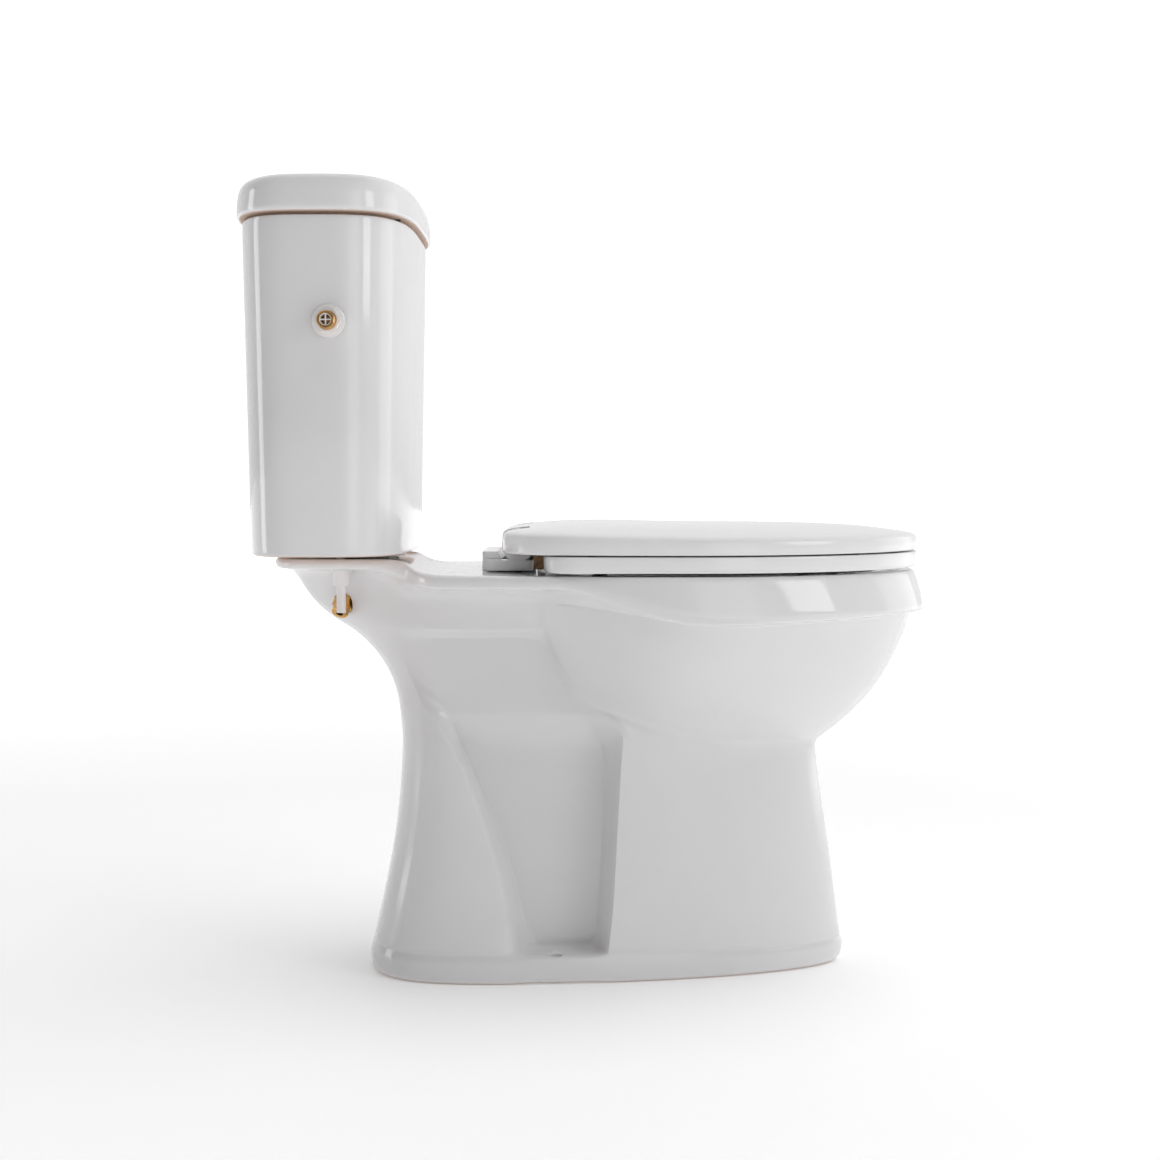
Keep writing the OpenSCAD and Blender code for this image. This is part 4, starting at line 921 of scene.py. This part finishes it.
def china(name, bare_below, bare_fade=1.5):
    """Glazed vitreous china. Below the bare height the glaze stops and the tan body shows."""
    material, nodes, links, shader, place = surface(name, (0.80, 0.80, 0.81), 0.07, ior=1.52)
    cloud = noise(nodes, links, place, 9.0, 3.0)
    cloud = ranged(nodes, links, cloud, 0, 1, 0.35, 0.65)
    colour = blended(nodes, links, cloud, (0.785, 0.780, 0.788), (0.805, 0.80, 0.806))
    rough = ranged(nodes, links, noise(nodes, links, place, 40.0), 0.05, 0.10, 0.3, 0.7)
    split = nodes.new("ShaderNodeSeparateXYZ")
    links.new(place.outputs["Object"], split.inputs["Vector"])
    bare = ranged(nodes, links, split.outputs["Z"], 1, 0, bare_below * MM, (bare_below + bare_fade) * MM)
    grain = noise(nodes, links, place, 900.0)
    body = blended(nodes, links, grain, (0.62, 0.45, 0.36), (0.72, 0.56, 0.46))
    links.new(blended(nodes, links, bare, colour, body), shader.inputs["Base Color"])
    mixed = nodes.new("ShaderNodeMix")
    links.new(bare, mixed.inputs[0])
    links.new(rough, mixed.inputs[2])
    mixed.inputs[3].default_value = 0.75
    links.new(mixed.outputs[0], shader.inputs["Roughness"])
    bumped(nodes, links, shader, [
        (noise(nodes, links, place, 11.0, 1.0), 0.004, 0.10),
        (noise(nodes, links, place, 260.0, 1.0), 0.0004, 0.05)])
    return material


def plastic(name, color, roughness, grain):
    material, nodes, links, shader, place = surface(name, color, roughness, ior=1.49)
    tone = tuple(c * 0.97 for c in color)
    colour = blended(nodes, links, noise(nodes, links, place, 25.0, 3.0), tone, color)
    links.new(colour, shader.inputs["Base Color"])
    rough = ranged(nodes, links, noise(nodes, links, place, 90.0), roughness * 0.8, roughness * 1.25)
    links.new(rough, shader.inputs["Roughness"])
    bumped(nodes, links, shader, [(noise(nodes, links, place, grain, 2.0), 0.0003, 0.08)])
    return material


def metal(name, color, dark, roughness, scale):
    material, nodes, links, shader, place = surface(name, color, roughness, metallic=1.0)
    worn = ranged(nodes, links, noise(nodes, links, place, scale, 5.0), 0, 1, 0.35, 0.7)
    links.new(blended(nodes, links, worn, color, dark), shader.inputs["Base Color"])
    rough = ranged(nodes, links, noise(nodes, links, place, scale * 3), roughness * 0.7, roughness * 1.4)
    links.new(rough, shader.inputs["Roughness"])
    bumped(nodes, links, shader, [(noise(nodes, links, place, scale * 6, 2.0), 0.0002, 0.10)])
    return material


def rubber_material():
    material, nodes, links, shader, place = surface("rubber", (0.035, 0.035, 0.038), 0.7)
    cloud = noise(nodes, links, place, 120.0, 4.0)
    colour = blended(nodes, links, cloud, (0.028, 0.028, 0.03), (0.05, 0.05, 0.052))
    links.new(colour, shader.inputs["Base Color"])
    bumped(nodes, links, shader, [(noise(nodes, links, place, 500.0, 3.0), 0.0004, 0.25)])
    return material


def paint(obj, material):
    obj.data.materials.clear()
    obj.data.materials.append(material)


PAN_CHINA = china("pan_glaze", 0.6)
TANK_CHINA = china("tank_glaze", TANK_Z + 0.6)
COVER_CHINA = china("cover_glaze", COVER_Z + 0.3, 0.5)
WHITE = plastic("white_plastic", (0.84, 0.84, 0.84), 0.16, 180.0)
NYLON = plastic("white_nylon", (0.86, 0.84, 0.83), 0.38, 420.0)
BRASS = metal("brass", (0.74, 0.44, 0.14), (0.46, 0.25, 0.07), 0.20, 160.0)
CHROME = metal("chrome_metal", (0.80, 0.80, 0.81), (0.70, 0.70, 0.72), 0.07, 90.0)
BRONZE = metal("hinge_metal", (0.20, 0.13, 0.07), (0.10, 0.06, 0.035), 0.34, 220.0)
RUBBER = rubber_material()

SLOT_MATERIAL = {
    "glazed_china": PAN_CHINA, "white_plastic": WHITE, "white_nylon": NYLON, "brass": BRASS,
    "chrome_metal": CHROME, "hinge_metal": BRONZE, "rubber": RUBBER}

slots = {s["node"]: s["material_slot"] for s in frame["record"]["subparts"]}
for node, obj in frame["nodes"].items():
    for slot in obj.material_slots:
        slot.material = SLOT_MATERIAL[slots[node]]

for maker, node, body, material in (
        (pan, "pan", "root", PAN_CHINA),
        (cistern, "cistern", "root", TANK_CHINA),
        (cistern_lid, "cistern_lid", "cistern_lid", COVER_CHINA),
        (seat_ring, "seat_ring", "seat_ring", WHITE),
        (seat_lid, "seat_lid", "seat_lid", WHITE)):
    piece = maker()
    paint(piece, material)
    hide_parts(node)
    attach(piece, body)


# Floor, light and camera

# Brightness of the backdrop as the camera sees it, and of the surroundings as the object sees them,
# on the near side and behind it
BACKDROP = 1.1
FILL = 0.18
BACK = 0.86
# Overhead light: brightness, and in degrees its spread and its tilt about X and Y
SUN = 1.35
SUN_SPREAD = 60
SUN_TILT_X = 3
SUN_TILT_Y = 12
FLOOR_HALF = 20000
FLOOR_Z = -0.2
# The floor's glow near the object and far away, and how far off in metres each begins
GLOW_NEAR = 0.16
GLOW_FAR = 0.55
GLOW_FROM = 1.2
GLOW_TO = 5.0
MIDDLE = (90, 0, 400)
# Name, place, target, width, height, watts, and whether only glints show it
SOFTBOXES = [
    ("front_light", (2700, 1200, 600), MIDDLE, 1800, 2200, 11, False),
    ("near_light", (2300, -1500, 1300), (150, 0, 250), 1000, 1200, 13, False),
    ("near_glint", (1000, -2390, 900), MIDDLE, 1000, 1700, 4.5, True),
    ("near_glint_wide", (1000, -2380, 900), MIDDLE, 1800, 2300, 5, True),
    ("rear_glint", (-2500, 300, 700), MIDDLE, 700, 1900, 12, True)]
# Camera fitted to the photograph's outlines: place in metres, dip in degrees, and in pixels its frame
# and focal length
CAMERA_PLACE = (0.090, -2.000, 0.5013)
CAMERA_DIP = 3.2
FRAME_PX = 1160
FOCAL_PX = 1972


def floor():
    """A pale floor that glows a little more far from the object, so that it fades into the backdrop."""
    corners = [(-1, -1), (1, -1), (1, 1), (-1, 1)]
    obj = make("floor", [(FLOOR_HALF * x, FLOOR_HALF * y, FLOOR_Z) for x, y in corners], [(0, 1, 2, 3)])
    material, nodes, links, shader, place = surface("floor", (0.93, 0.93, 0.93), 0.6)
    colour = blended(nodes, links, noise(nodes, links, place, 3.0), (0.94, 0.94, 0.94), (0.96, 0.96, 0.96))
    links.new(colour, shader.inputs["Base Color"])
    shader.inputs["Emission Color"].default_value = (1, 1, 1, 1)
    away = nodes.new("ShaderNodeVectorMath")
    away.operation = "LENGTH"
    links.new(place.outputs["Object"], away.inputs[0])
    glow = ranged(nodes, links, away.outputs["Value"], GLOW_NEAR, GLOW_FAR, GLOW_FROM, GLOW_TO)
    links.new(glow, shader.inputs["Emission Strength"])
    paint(obj, material)


def softbox(name, place, target, width, height, watts, only_glints):
    light = bpy.data.lights.new(name, "AREA")
    light.shape = "RECTANGLE"
    light.size = width * MM
    light.size_y = height * MM
    light.energy = watts
    obj = bpy.data.objects.new(name, light)
    obj.location = Vector(place) * MM
    aim = (Vector(target) - Vector(place)).to_track_quat("-Z", "Y")
    obj.rotation_euler = aim.to_euler()
    obj.visible_diffuse = not only_glints
    bpy.context.scene.collection.objects.link(obj)


def studio():
    """White backdrop, fill from all round, soft light from above, two softboxes and three for glints only."""
    world = bpy.data.worlds.new("studio")
    nodes, links = nodes_of(world)
    backdrop = nodes["Background"]
    backdrop.inputs["Color"].default_value = (1, 1, 1, 1)
    backdrop.inputs["Strength"].default_value = BACKDROP
    fill = nodes.new("ShaderNodeBackground")
    fill.inputs["Color"].default_value = (1.0, 0.99, 1.0, 1)
    way = nodes.new("ShaderNodeTexCoord")
    split = nodes.new("ShaderNodeSeparateXYZ")
    links.new(way.outputs["Generated"], split.inputs["Vector"])
    links.new(ranged(nodes, links, split.outputs["Y"], FILL, BACK, 0.1, 0.7), fill.inputs["Strength"])
    path = nodes.new("ShaderNodeLightPath")
    both = nodes.new("ShaderNodeMixShader")
    links.new(path.outputs["Is Camera Ray"], both.inputs["Fac"])
    links.new(fill.outputs["Background"], both.inputs[1])
    links.new(backdrop.outputs["Background"], both.inputs[2])
    links.new(both.outputs["Shader"], nodes["World Output"].inputs["Surface"])
    bpy.context.scene.world = world
    sun = bpy.data.lights.new("overhead", "SUN")
    sun.angle = math.radians(SUN_SPREAD)
    sun.energy = SUN
    above = bpy.data.objects.new("overhead", sun)
    above.rotation_euler = (math.radians(SUN_TILT_X), math.radians(SUN_TILT_Y), 0)
    above.visible_glossy = False
    bpy.context.scene.collection.objects.link(above)
    for row in SOFTBOXES:
        softbox(*row)


def camera():
    """Half a metre above the floor and 2 m from the middle plane, at the photograph's viewing angle."""
    data = bpy.data.cameras.new("camera")
    data.sensor_width = 36
    data.lens = data.sensor_width * FOCAL_PX / FRAME_PX
    data.clip_end = 50
    obj = bpy.data.objects.new("camera", data)
    obj.location = CAMERA_PLACE
    obj.rotation_euler = (math.radians(90 - CAMERA_DIP), 0, 0)
    bpy.context.scene.collection.objects.link(obj)
    bpy.context.scene.camera = obj


floor()
studio()
camera()
bpy.context.scene.view_settings.view_transform = "Standard"
